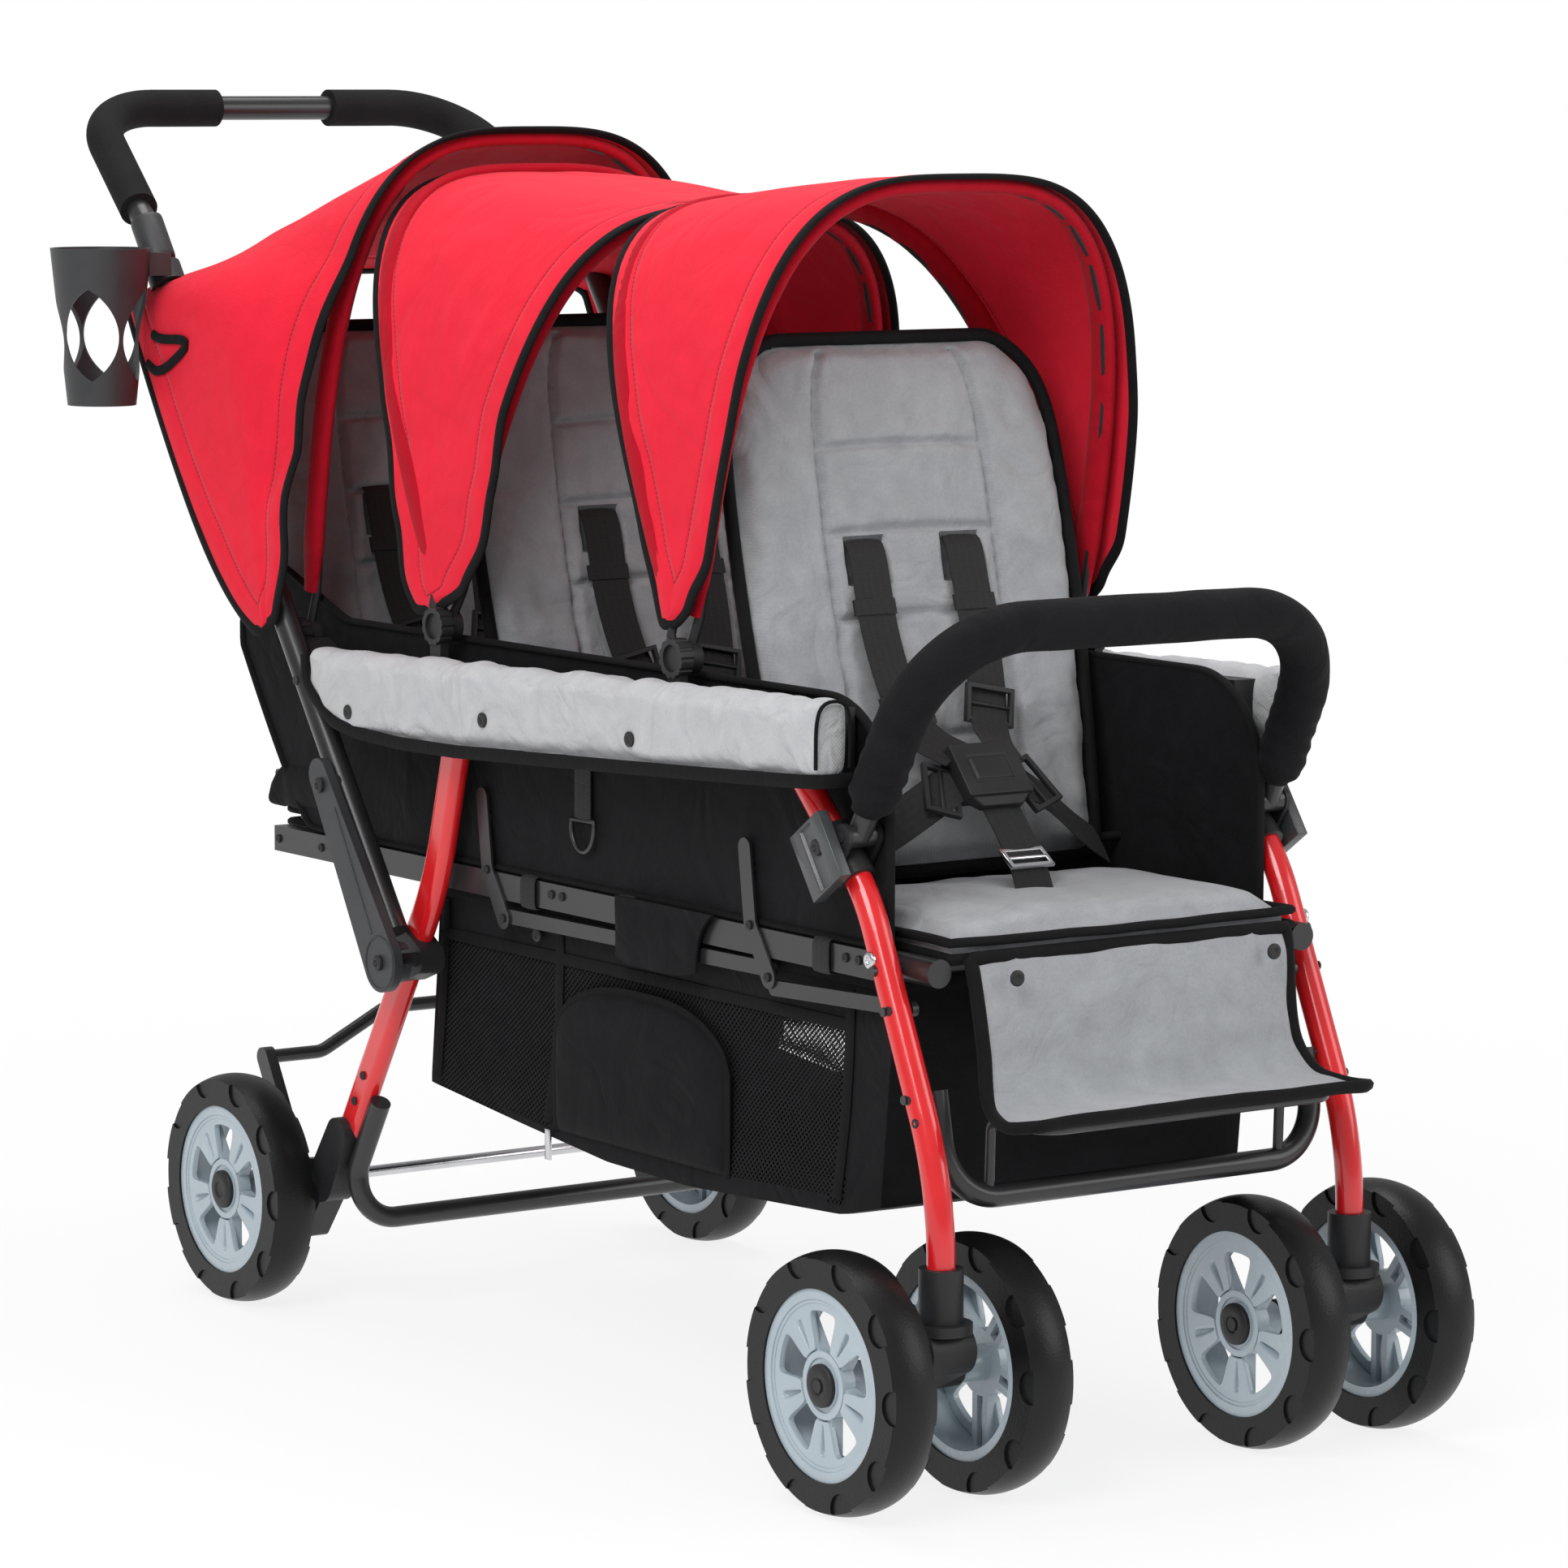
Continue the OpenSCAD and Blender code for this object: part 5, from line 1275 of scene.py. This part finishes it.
slide = frameSlide("slide_model", width=46, height=32, thick=5.0, bar=True)
ring = frameSlide("ring_model", width=42, height=22, thick=3.2, bar=True)
buckle = buckleBlock("buckle_model")
backTurn = Matrix.Rotation(math.radians(-seatBack["lean"]), 4, "X")
lockTurn = Matrix.Rotation(math.radians(-40), 4, "X")
ringTurn = Matrix.Rotation(math.radians(-55), 4, "X")
for k, name in enumerate(seatNames):
    shift = at(0, seatShift[k], 0)
    straps = []
    slides = []
    clips = []
    target = at(*harness["buckle"])
    for side in (-1, 1):
        line = [onBack(side, *spot) for spot in harness["shoulder"]] + [target + at(side * 22, 6, 14)]
        line = [p + shift for p in smoothLine(line, 0.006)]
        straps.append(strapPiece("strap", line, harness["width"], backOut.copy()))
        keeper = [onBack(side, *spot) + shift for spot in harness["keeper"]]
        straps.append(sweepPiece("keeper", keeper, roundSection(0.040, 0.006, 8, 4.0), start=backOut.copy()))
        tilt = backTurn @ Matrix.Rotation(side * 0.2, 4, "Y")
        slides.append(copied(slide, "slide", onBack(side, *harness["slide"]) + shift, tilt))
        clipTurn = Matrix.Rotation(side * math.radians(70), 4, "Y")
        clips.append(copied(slide, "slide", target + shift + at(side * 44, 0, -11), lockTurn @ clipTurn))
    shoulder = dress(joined("shoulder_straps_" + name, straps), finishes["webbing"], None)
    plastic = dress(joined("strap_slides_" + name, slides), finishes["blackPlastic"], None)
    if k < 2:
        low, high = [onBack(1, 0, v, 0) + shift for v in harness["give"]]
        for piece in (shoulder, plastic):
            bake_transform(piece)
    else:
        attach(shoulder, "main_frame")
        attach(plastic, "main_frame")
    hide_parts("shoulder_harness_" + name)
    lap = []
    for side in (-1, 1):
        end = at(side * harness["lapEnd"][0], *harness["lapEnd"][1:])
        line = [target + at(side * x, y, z) for x, y, z in harness["lap"]] + [end]
        line = [p + shift for p in smoothLine(line, 0.006)]
        lap.append(strapPiece("lap", line, harness["width"], Vector((0, -0.6, 0.8))))
    crotch = [at(*p) + shift for p in harness["crotch"]]
    lap.append(strapPiece("crotch", smoothLine(crotch, 0.005), harness["width"], Vector((0, -0.7, 0.7))))
    dress(joined("lap_straps_" + name, lap), finishes["webbing"], "main_frame",
        ["lap_harnesses"] if k == 0 else ())
    lock = joined("harness_buckle_" + name, [copied(buckle, "lock", target + shift, lockTurn)] + clips)
    dress(lock, finishes["blackPlastic"], "main_frame")
    hoop = copied(ring, "crotch_ring_" + name, at(*harness["ring"]) + shift, ringTurn)
    dress(hoop, finishes["steel"], "main_frame")
for model in (slide, ring, buckle):
    bpy.data.objects.remove(model)
print("harness done")


# Fasteners: each modelled once along +X and copied to its places
def headModel(name, radius, height, dimple, vertices):
    bpy.ops.object.select_all(action="DESELECT")
    bpy.ops.mesh.primitive_cylinder_add(vertices=vertices, radius=radius * mm, depth=height * mm,
        rotation=(0, math.pi / 2, 0))
    obj = bpy.context.active_object
    obj.name = name
    bpy.ops.object.transform_apply(location=True, rotation=True, scale=True)
    obj.data.transform(Matrix.Translation((height * 0.0005, 0, 0)))
    editFaces(obj, lambda f: f.normal.x > 0.9)
    bpy.ops.mesh.inset(thickness=radius * 0.0003, depth=height * 0.00025)
    bpy.ops.mesh.inset(thickness=radius * 0.00025, depth=0)
    bpy.ops.mesh.inset(thickness=radius * 0.0001, depth=-dimple * mm)
    bpy.ops.object.mode_set(mode="OBJECT")
    applyModifier(obj, "BEVEL", width=radius * 0.00008, segments=2, limit_method="ANGLE")
    smoothShade(obj, 35)
    return obj


headSizes = {"snap": {"radius": 6.2, "height": 2.4, "dimple": 1.0, "vertices": 24},
    "bolt": {"radius": 6.5, "height": 3.2, "dimple": 1.6, "vertices": 20},
    "screw": {"radius": 3.7, "height": 1.8, "dimple": 1.0, "vertices": 18},
    "cap": {"radius": 16.5, "height": 5.4, "dimple": 1.0, "vertices": 40}}
heads = {name: headModel(name, **size) for name, size in headSizes.items()}
forward = Matrix.Rotation(math.radians(-90), 4, "Z")
rearLeg = {"foot": (239, 117.7), "top": (71, 395.4), "rivets": (62, 88, 116)}
down = (Vector(rearLeg["foot"]) - Vector(rearLeg["top"])).normalized()
rivet = [Vector(rearLeg["foot"]) - down * d for d in rearLeg["rivets"]]
places = {
    "armrest_snaps": ("main_frame", "snap", [(239.3, 147, 534), (240, -67, 547), (240, -284, 552)]),
    "leg_bolts": ("main_frame", "bolt", [(208.4, -564.5, 410)]),
    "leg_screws": ("main_frame", "screw", [(207.2, -586, 374), (207.2, -612, 310), (207.2, -621, 294)]),
    "rail_screws": ("main_frame", "screw", [(186, 358, 400), (186, 285, 400), (186, 264, 400),
        (186, -85, 402), (186, -101, 402), (186, -500, 402), (186, -517, 402)]),
    "hanger_rivets": ("main_frame", "screw", [(188.5, -374, 412), (188.5, -399, 374), (188.5, 11, 412),
        (188.5, -14, 374)]),
    "band_snaps": ("main_frame", "snap", [(176, -49, 364), (176, -203, 368)]),
    "leg_rivets": ("rear_frame", "screw", [(208, p[0], p[1]) for p in rivet]),
    "hook_rivets": ("handle", "bolt", [(247, 87, 329), (247, 182, 469)]),
}
for name, (body, kind, spots) in places.items():
    copies = []
    for x, y, z in spots:
        one = copied(heads[kind], "head", at(x, y, z))
        copies += [one, mirrored(one, "head_right")]
    finish, slot = ("steel", "steel") if name == "leg_bolts" else ("blackPlastic", "black_plastic")
    group = dress(joined(name, copies), finishes[finish], body)
    if name == "armrest_snaps":
        pushAlong(group)
snaps = [copied(heads["snap"], "head", at(x, -633, 398), forward) for x in calf["studs"]]
dress(joined("calf_snaps", snaps), finishes["blackPlastic"], "main_frame")
# Moulded clamp covers on the front legs, with a sunk channel and a rivet
clampCover = {"size": (10, 44, 56), "spot": (-221.5, -516, 484), "turn": -35, "rivet": (223.5, -516, 491)}
bpy.ops.object.select_all(action="DESELECT")
bpy.ops.mesh.primitive_cube_add(size=1)
clamp = bpy.context.active_object
clamp.data.transform(Matrix.Diagonal((*at(*clampCover["size"]), 1)))
editFaces(clamp, lambda f: f.normal.x < -0.9)
bpy.ops.mesh.inset(thickness=0.005)
bpy.ops.transform.resize(value=(1, 0.5, 1.14))
bpy.ops.mesh.inset(thickness=0.0015, depth=-0.003)
bpy.ops.object.mode_set(mode="OBJECT")
applyModifier(clamp, "BEVEL", width=0.003, segments=3, limit_method="ANGLE")
smoothShade(clamp, 40)
clampTurn = Matrix.Rotation(math.radians(clampCover["turn"]), 4, "X")
clamp.data.transform(Matrix.Translation(at(*clampCover["spot"])) @ clampTurn)
clamp.name = "clamp_cover_right"
bolt = copied(heads["bolt"], "head", at(*clampCover["rivet"]))
clampRivet = mirrored(bolt, "clamp_rivet_right")
bpy.data.objects.remove(bolt)
dressPair(clamp, "clampPlastic", "main_frame")
dressPair(clampRivet, "blackPlastic", "main_frame")
# Dished spoke faces: five split arms that flare into the rim
dish = {"radius": 64.5, "insets": (8, 14, 15), "columns": 60, "arms": 5, "thick": 5, "out": 16.4}
bpy.ops.object.select_all(action="DESELECT")
bpy.ops.mesh.primitive_circle_add(vertices=dish["columns"], radius=dish["radius"] * mm, fill_type="NGON")
spokes = bpy.context.active_object
editFaces(spokes, lambda f: True)
for step in dish["insets"]:
    bpy.ops.mesh.inset(thickness=step * mm)
bpy.ops.mesh.delete(type="FACE")
bpy.ops.object.mode_set(mode="OBJECT")


def armAngle(face):
    # Angle from the middle of the nearest arm, in degrees
    part = 360 / dish["arms"]
    return abs((math.degrees(math.atan2(face.center.y, face.center.x)) + part / 2) % part - part / 2)


outerRing = (dish["radius"] - dish["insets"][0]) * mm
editFaces(spokes, lambda f: armAngle(f) > 18 and f.center.length < outerRing)
bpy.ops.mesh.delete(type="FACE")
bpy.ops.object.mode_set(mode="OBJECT")
editFaces(spokes, lambda f: armAngle(f) < 6 and f.center.length < outerRing)
bpy.ops.mesh.inset(thickness=0.0026)
bpy.ops.mesh.inset(thickness=0.0004, depth=-0.005)
bpy.ops.object.mode_set(mode="OBJECT")
applyModifier(spokes, "SUBSURF", levels=2, render_levels=2)
applyModifier(spokes, "SOLIDIFY", thickness=dish["thick"] * mm, offset=-1)
applyModifier(spokes, "BEVEL", width=0.0009, segments=2, limit_method="ANGLE", angle_limit=math.radians(50))
smoothShade(spokes, 60)
spokes.data.transform(Matrix.Rotation(math.radians(90), 4, "Y"))
wheelSpots = {"casterY": -600.5, "outerX": 261, "innerX": 135, "rearY": 331.5, "rearX": 242.8, "axle": 100,
    "capOut": 14.2}
wheels = []
for side, sign in (("left", 1), ("right", -1)):
    wheels += [("caster_%s_outer" % side, sign * wheelSpots["outerX"], wheelSpots["casterY"], sign),
        ("caster_%s_inner" % side, sign * wheelSpots["innerX"], wheelSpots["casterY"], -sign),
        ("rear_%s" % side, sign * wheelSpots["rearX"], wheelSpots["rearY"], sign)]
for wheel, x, y, out in wheels:
    turn = None if out > 0 else Matrix.Rotation(math.pi, 4, "Z")
    high = wheelSpots["axle"]
    cap = copied(heads["cap"], "hub_cap_" + wheel, at(x + out * wheelSpots["capOut"], y, high), turn)
    dress(cap, finishes["blackPlastic"], "wheel_" + wheel)
    arms = copied(spokes, "rim_spokes_" + wheel, at(x + out * dish["out"], y, high), turn)
    dress(arms, finishes["rimPlastic"], "wheel_" + wheel)
for model in [spokes] + list(heads.values()):
    bpy.data.objects.remove(model)
# Sleeve collars where the push bar plugs into the handle tubes
handleCollar = {"joint": (-224.5, 489.5, 896), "along": (0, 391.7, 544), "width": 0.029,
    "steps": (6, 7, 9, 30, 47, 49, 50), "grow": (0.9, 0.98, 1, 1, 1, 0.98, 0.9)}
along = at(*handleCollar["along"]).normalized()
collarLine = [at(*handleCollar["joint"]) + along * d * mm for d in handleCollar["steps"]]
collarRound = roundSection(handleCollar["width"], handleCollar["width"], 28)
collar = sweepPiece("handle_collar_right", collarLine, collarRound, scale=handleCollar["grow"])
dressPair(collar, "armPlastic", "handle")
# Hanging strap with a D-ring on each side wall
hanger = {"x": -186.2, "y": -132, "top": 520, "low": 464, "width": 24, "ring": (17, 22), "shoulder": 4}
strapX, strapY, ringZ = hanger["x"], hanger["y"], hanger["low"]
hangLine = [at(strapX, strapY, z) for z in range(hanger["top"], ringZ, -4)]
hang = strapPiece("hang", hangLine, hanger["width"], Vector((-1, 0, 0)))
hang.name = "hang_strap_right"
ringHalf, ringDrop = hanger["ring"]
arc = [at(strapX, strapY + ringHalf * cosd(a), ringZ - ringDrop * sind(a)) for a in range(0, 181, 10)]
ringEnds = [at(strapX, strapY + way * ringHalf, ringZ + hanger["shoulder"]) for way in (1, -1)]
arc = ringEnds[:1] + arc + ringEnds[1:]
dRing = sweepPiece("d_ring_right", arc, roundSection(0.004, 0.004, 8), loop=True)
dressPair(hang, "webbing", "main_frame")
dressPair(dRing, "blackPaint", "main_frame")
# Cloth flap over each rail, and webbing loops that tie the seat cloth to the rails
railFlap = {"x": -189.5, "rear": -188, "front": -304, "low": 360, "high": 414, "slant": 22}
railLoop = {"y": (-52, -196, -470), "x": -180, "z": 400, "half": (8.5, 13.5)}


def flapSpot(u, v, top):
    y = mix(railFlap["rear"], railFlap["front"], (u + 1) / 2) - railFlap["slant"] * v ** 3 * (u + 1) / 2
    z = mix(railFlap["low"] + 6 * abs(u) ** 4, railFlap["high"], v)
    full = max(0, 1 - abs(u) ** 6) * math.sin(math.pi * min(1, v + 0.15))
    proud = 2.4 + 3.5 * max(0, full) + 1.2 * ripple((y, z, 0), (22, 30, 50), 4.0)
    return at(railFlap["x"] - (proud if top else 0), y, z)


flap = shellPiece("rail_flap_right", flapSpot, 36, 18)
smoothShade(flap, 60)
loops = []
halfX, halfZ = railLoop["half"]
for y in railLoop["y"]:
    middle = at(railLoop["x"], y, railLoop["z"])
    ringPath = [at(railLoop["x"] + halfX * math.copysign(abs(cosd(a)) ** 0.4, cosd(a)), y,
                   railLoop["z"] + halfZ * math.copysign(abs(sind(a)) ** 0.4, sind(a)))
                for a in range(0, 360, 10)]
    wide = [(None, Vector((0, 1, 0)), (p - middle).normalized()) for p in ringPath]
    loops.append(sweepPiece("loop", ringPath, roundSection(0.022, 0.0018, 8, 4.0), loop=True, frames=wide))
railLoops = joined("rail_loops_right", loops)
# Soft gusset between the rear cushion and the side wall, rounded off at its rear end
rearGusset = {"x": -172, "y": (250, 378), "low": 427, "tall": (50, 38), "wide": 26, "steps": 30}
rows = []
for i in range(rearGusset["steps"] + 1):
    t = i / rearGusset["steps"]
    tall = mix(*rearGusset["tall"], t) * (0.4 + 0.6 * max(0, 1 - max(0, t / 0.12 - 7.333)) ** 0.5)
    middle = Vector((rearGusset["x"], mix(*rearGusset["y"], t), rearGusset["low"] + tall / 2))
    pinch = 1 + 0.1 * ripple((middle.y, 0, 0), (14, 50, 50), 5.0)
    section = roundSection(rearGusset["wide"] * pinch, tall * pinch, 20, 2.4)
    rows.append([at(middle.x + a, middle.y, middle.z + b) for a, b in section])
gusset = gridPiece("rear_gusset_right", rows, ring=True, caps=True)
recalculate(gusset)
smoothShade(gusset, 60)
# Zip pull and the moulded ridges of the handle feet
pullSpot = at(-179.5, -69, 192)
pull = frameSlide("zip_pull_right", width=8, height=26, thick=2.4, bar=False)
pull.data.transform(Matrix.Translation(pullSpot) @ Matrix.Rotation(math.radians(90), 4, "Z"))
handleFoot = {"x": -247, "ridge": ((100, 352), (130, 402), (160, 452)), "disc": (87, 329), "radius": 22}
ridgeLine = [at(handleFoot["x"], *spot) for spot in handleFoot["ridge"]]
ridge = sweepPiece("ridge", ridgeLine, roundSection(0.0024, 0.0024, 8))
discY, discZ = handleFoot["disc"]
disc = [at(handleFoot["x"], discY + handleFoot["radius"] * cosd(a), discZ + handleFoot["radius"] * sind(a))
        for a in range(0, 360, 12)]
discRing = sweepPiece("disc", disc, roundSection(0.0022, 0.0022, 8), loop=True)
ridges = joined("handle_foot_ridges_right", [ridge, discRing])
for piece in (flap, gusset):
    for one in dressPair(piece, "blackCloth", "main_frame"):
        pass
dressPair(railLoops, "webbing", "main_frame")
dressPair(pull, "steel", "main_frame")
dressPair(ridges, "armPlastic", "handle")
# Bound slits of the rear canopy, where it closes round the handle tubes
canopySlit = {"x": -243.5, "path": ((484, 812), (463, 803), (414, 828), (414, 836), (462, 834), (474, 838))}
slit = smoothLine([at(canopySlit["x"], *spot) for spot in canopySlit["path"]], 0.005, 2)
slitTape = sweepPiece("canopy_slit_right", slit, roundSection(0.004, 0.009, 8), start=upAxis)
dressPair(slitTape, "bindingTape", "main_frame")
print("fasteners done")

# Floor, light and camera
stageSet = {"floor": 60.0, "camera": (-2.8182, -4.1996, 1.0843), "yaw": 34.83, "pitch": 6.90, "roll": 0.2,
    "lens": 138.51, "lampAim": (0, -0.1, 0.5), "lamps": (("key", (-3.2, -2.2, 3.4), 2.4, 130),
        ("fill", (2.8, -3.6, 2.2), 2.6, 55), ("top", (0.2, 0.6, 3.6), 2.2, 60))}
bpy.ops.object.select_all(action="DESELECT")
bpy.ops.mesh.primitive_plane_add(size=stageSet["floor"], location=(0, 0, 0))
floor = bpy.context.active_object
floor.name = "studio_floor"
floorMaterial, floorTree, floorShader = startMaterial("studioFloor")
floorShader.inputs["Base Color"].default_value = (0.9, 0.9, 0.9, 1)
floorShader.inputs["Roughness"].default_value = 0.8
# The floor fades into the bright backdrop a few metres away
spot = addNode(floorTree, "ShaderNodeTexCoord").outputs["Object"]
spread = addNode(floorTree, "ShaderNodeVectorMath", {0: spot}, operation="LENGTH").outputs["Value"]
fadeRange = {"From Min": 0.5, "From Max": 2.2, "To Min": 0.84}
fade = addNode(floorTree, "ShaderNodeMapRange", {"Value": spread, **fadeRange},
    interpolation_type="SMOOTHSTEP").outputs[0]
glow = addNode(floorTree, "ShaderNodeEmission", {1: 1.0}).outputs[0]
soft = addNode(floorTree, "ShaderNodeMixShader", {0: fade, 1: floorShader.outputs[0], 2: glow}).outputs[0]
floorTree.links.new(soft, floorTree.nodes["Material Output"].inputs[0])
floor.data.materials.append(floorMaterial)
world = bpy.data.worlds.new("studio")
world.use_nodes = True
sky = world.node_tree.nodes["Background"]
sky.inputs[0].default_value = (1, 1, 1, 1)
seen = addNode(world.node_tree, "ShaderNodeLightPath").outputs["Is Camera Ray"]
world.node_tree.links.new(calc(world.node_tree, "MULTIPLY_ADD", seen, 0.58, 0.42), sky.inputs[1])
bpy.context.scene.world = world
for name, spot, size, power in stageSet["lamps"]:
    lamp = bpy.data.lights.new(name, "AREA")
    lamp.size = size
    lamp.energy = power
    light = bpy.data.objects.new(name, lamp)
    bpy.context.scene.collection.objects.link(light)
    light.location = spot
    aim = Vector(stageSet["lampAim"]) - Vector(spot)
    light.rotation_euler = aim.to_track_quat("-Z", "Y").to_euler()
yaw, pitch = stageSet["yaw"], stageSet["pitch"]
ahead = Vector((sind(yaw) * cosd(pitch), cosd(yaw) * cosd(pitch), -sind(pitch)))
right = Vector((cosd(yaw), -sind(yaw), 0))
upward = right.cross(ahead)
turned = Matrix((right, upward, -ahead)).transposed().to_4x4()
camera = bpy.data.objects.new("camera", bpy.data.cameras.new("camera"))
bpy.context.scene.collection.objects.link(camera)
camera.data.lens = stageSet["lens"]
camera.data.sensor_width = 36
camera.data.clip_end = 100
roll = Matrix.Rotation(math.radians(stageSet["roll"]), 4, "Z")
camera.matrix_world = Matrix.Translation(stageSet["camera"]) @ turned @ roll
bpy.context.scene.camera = camera
bpy.context.scene.view_settings.view_transform = "Standard"
print("stage done")
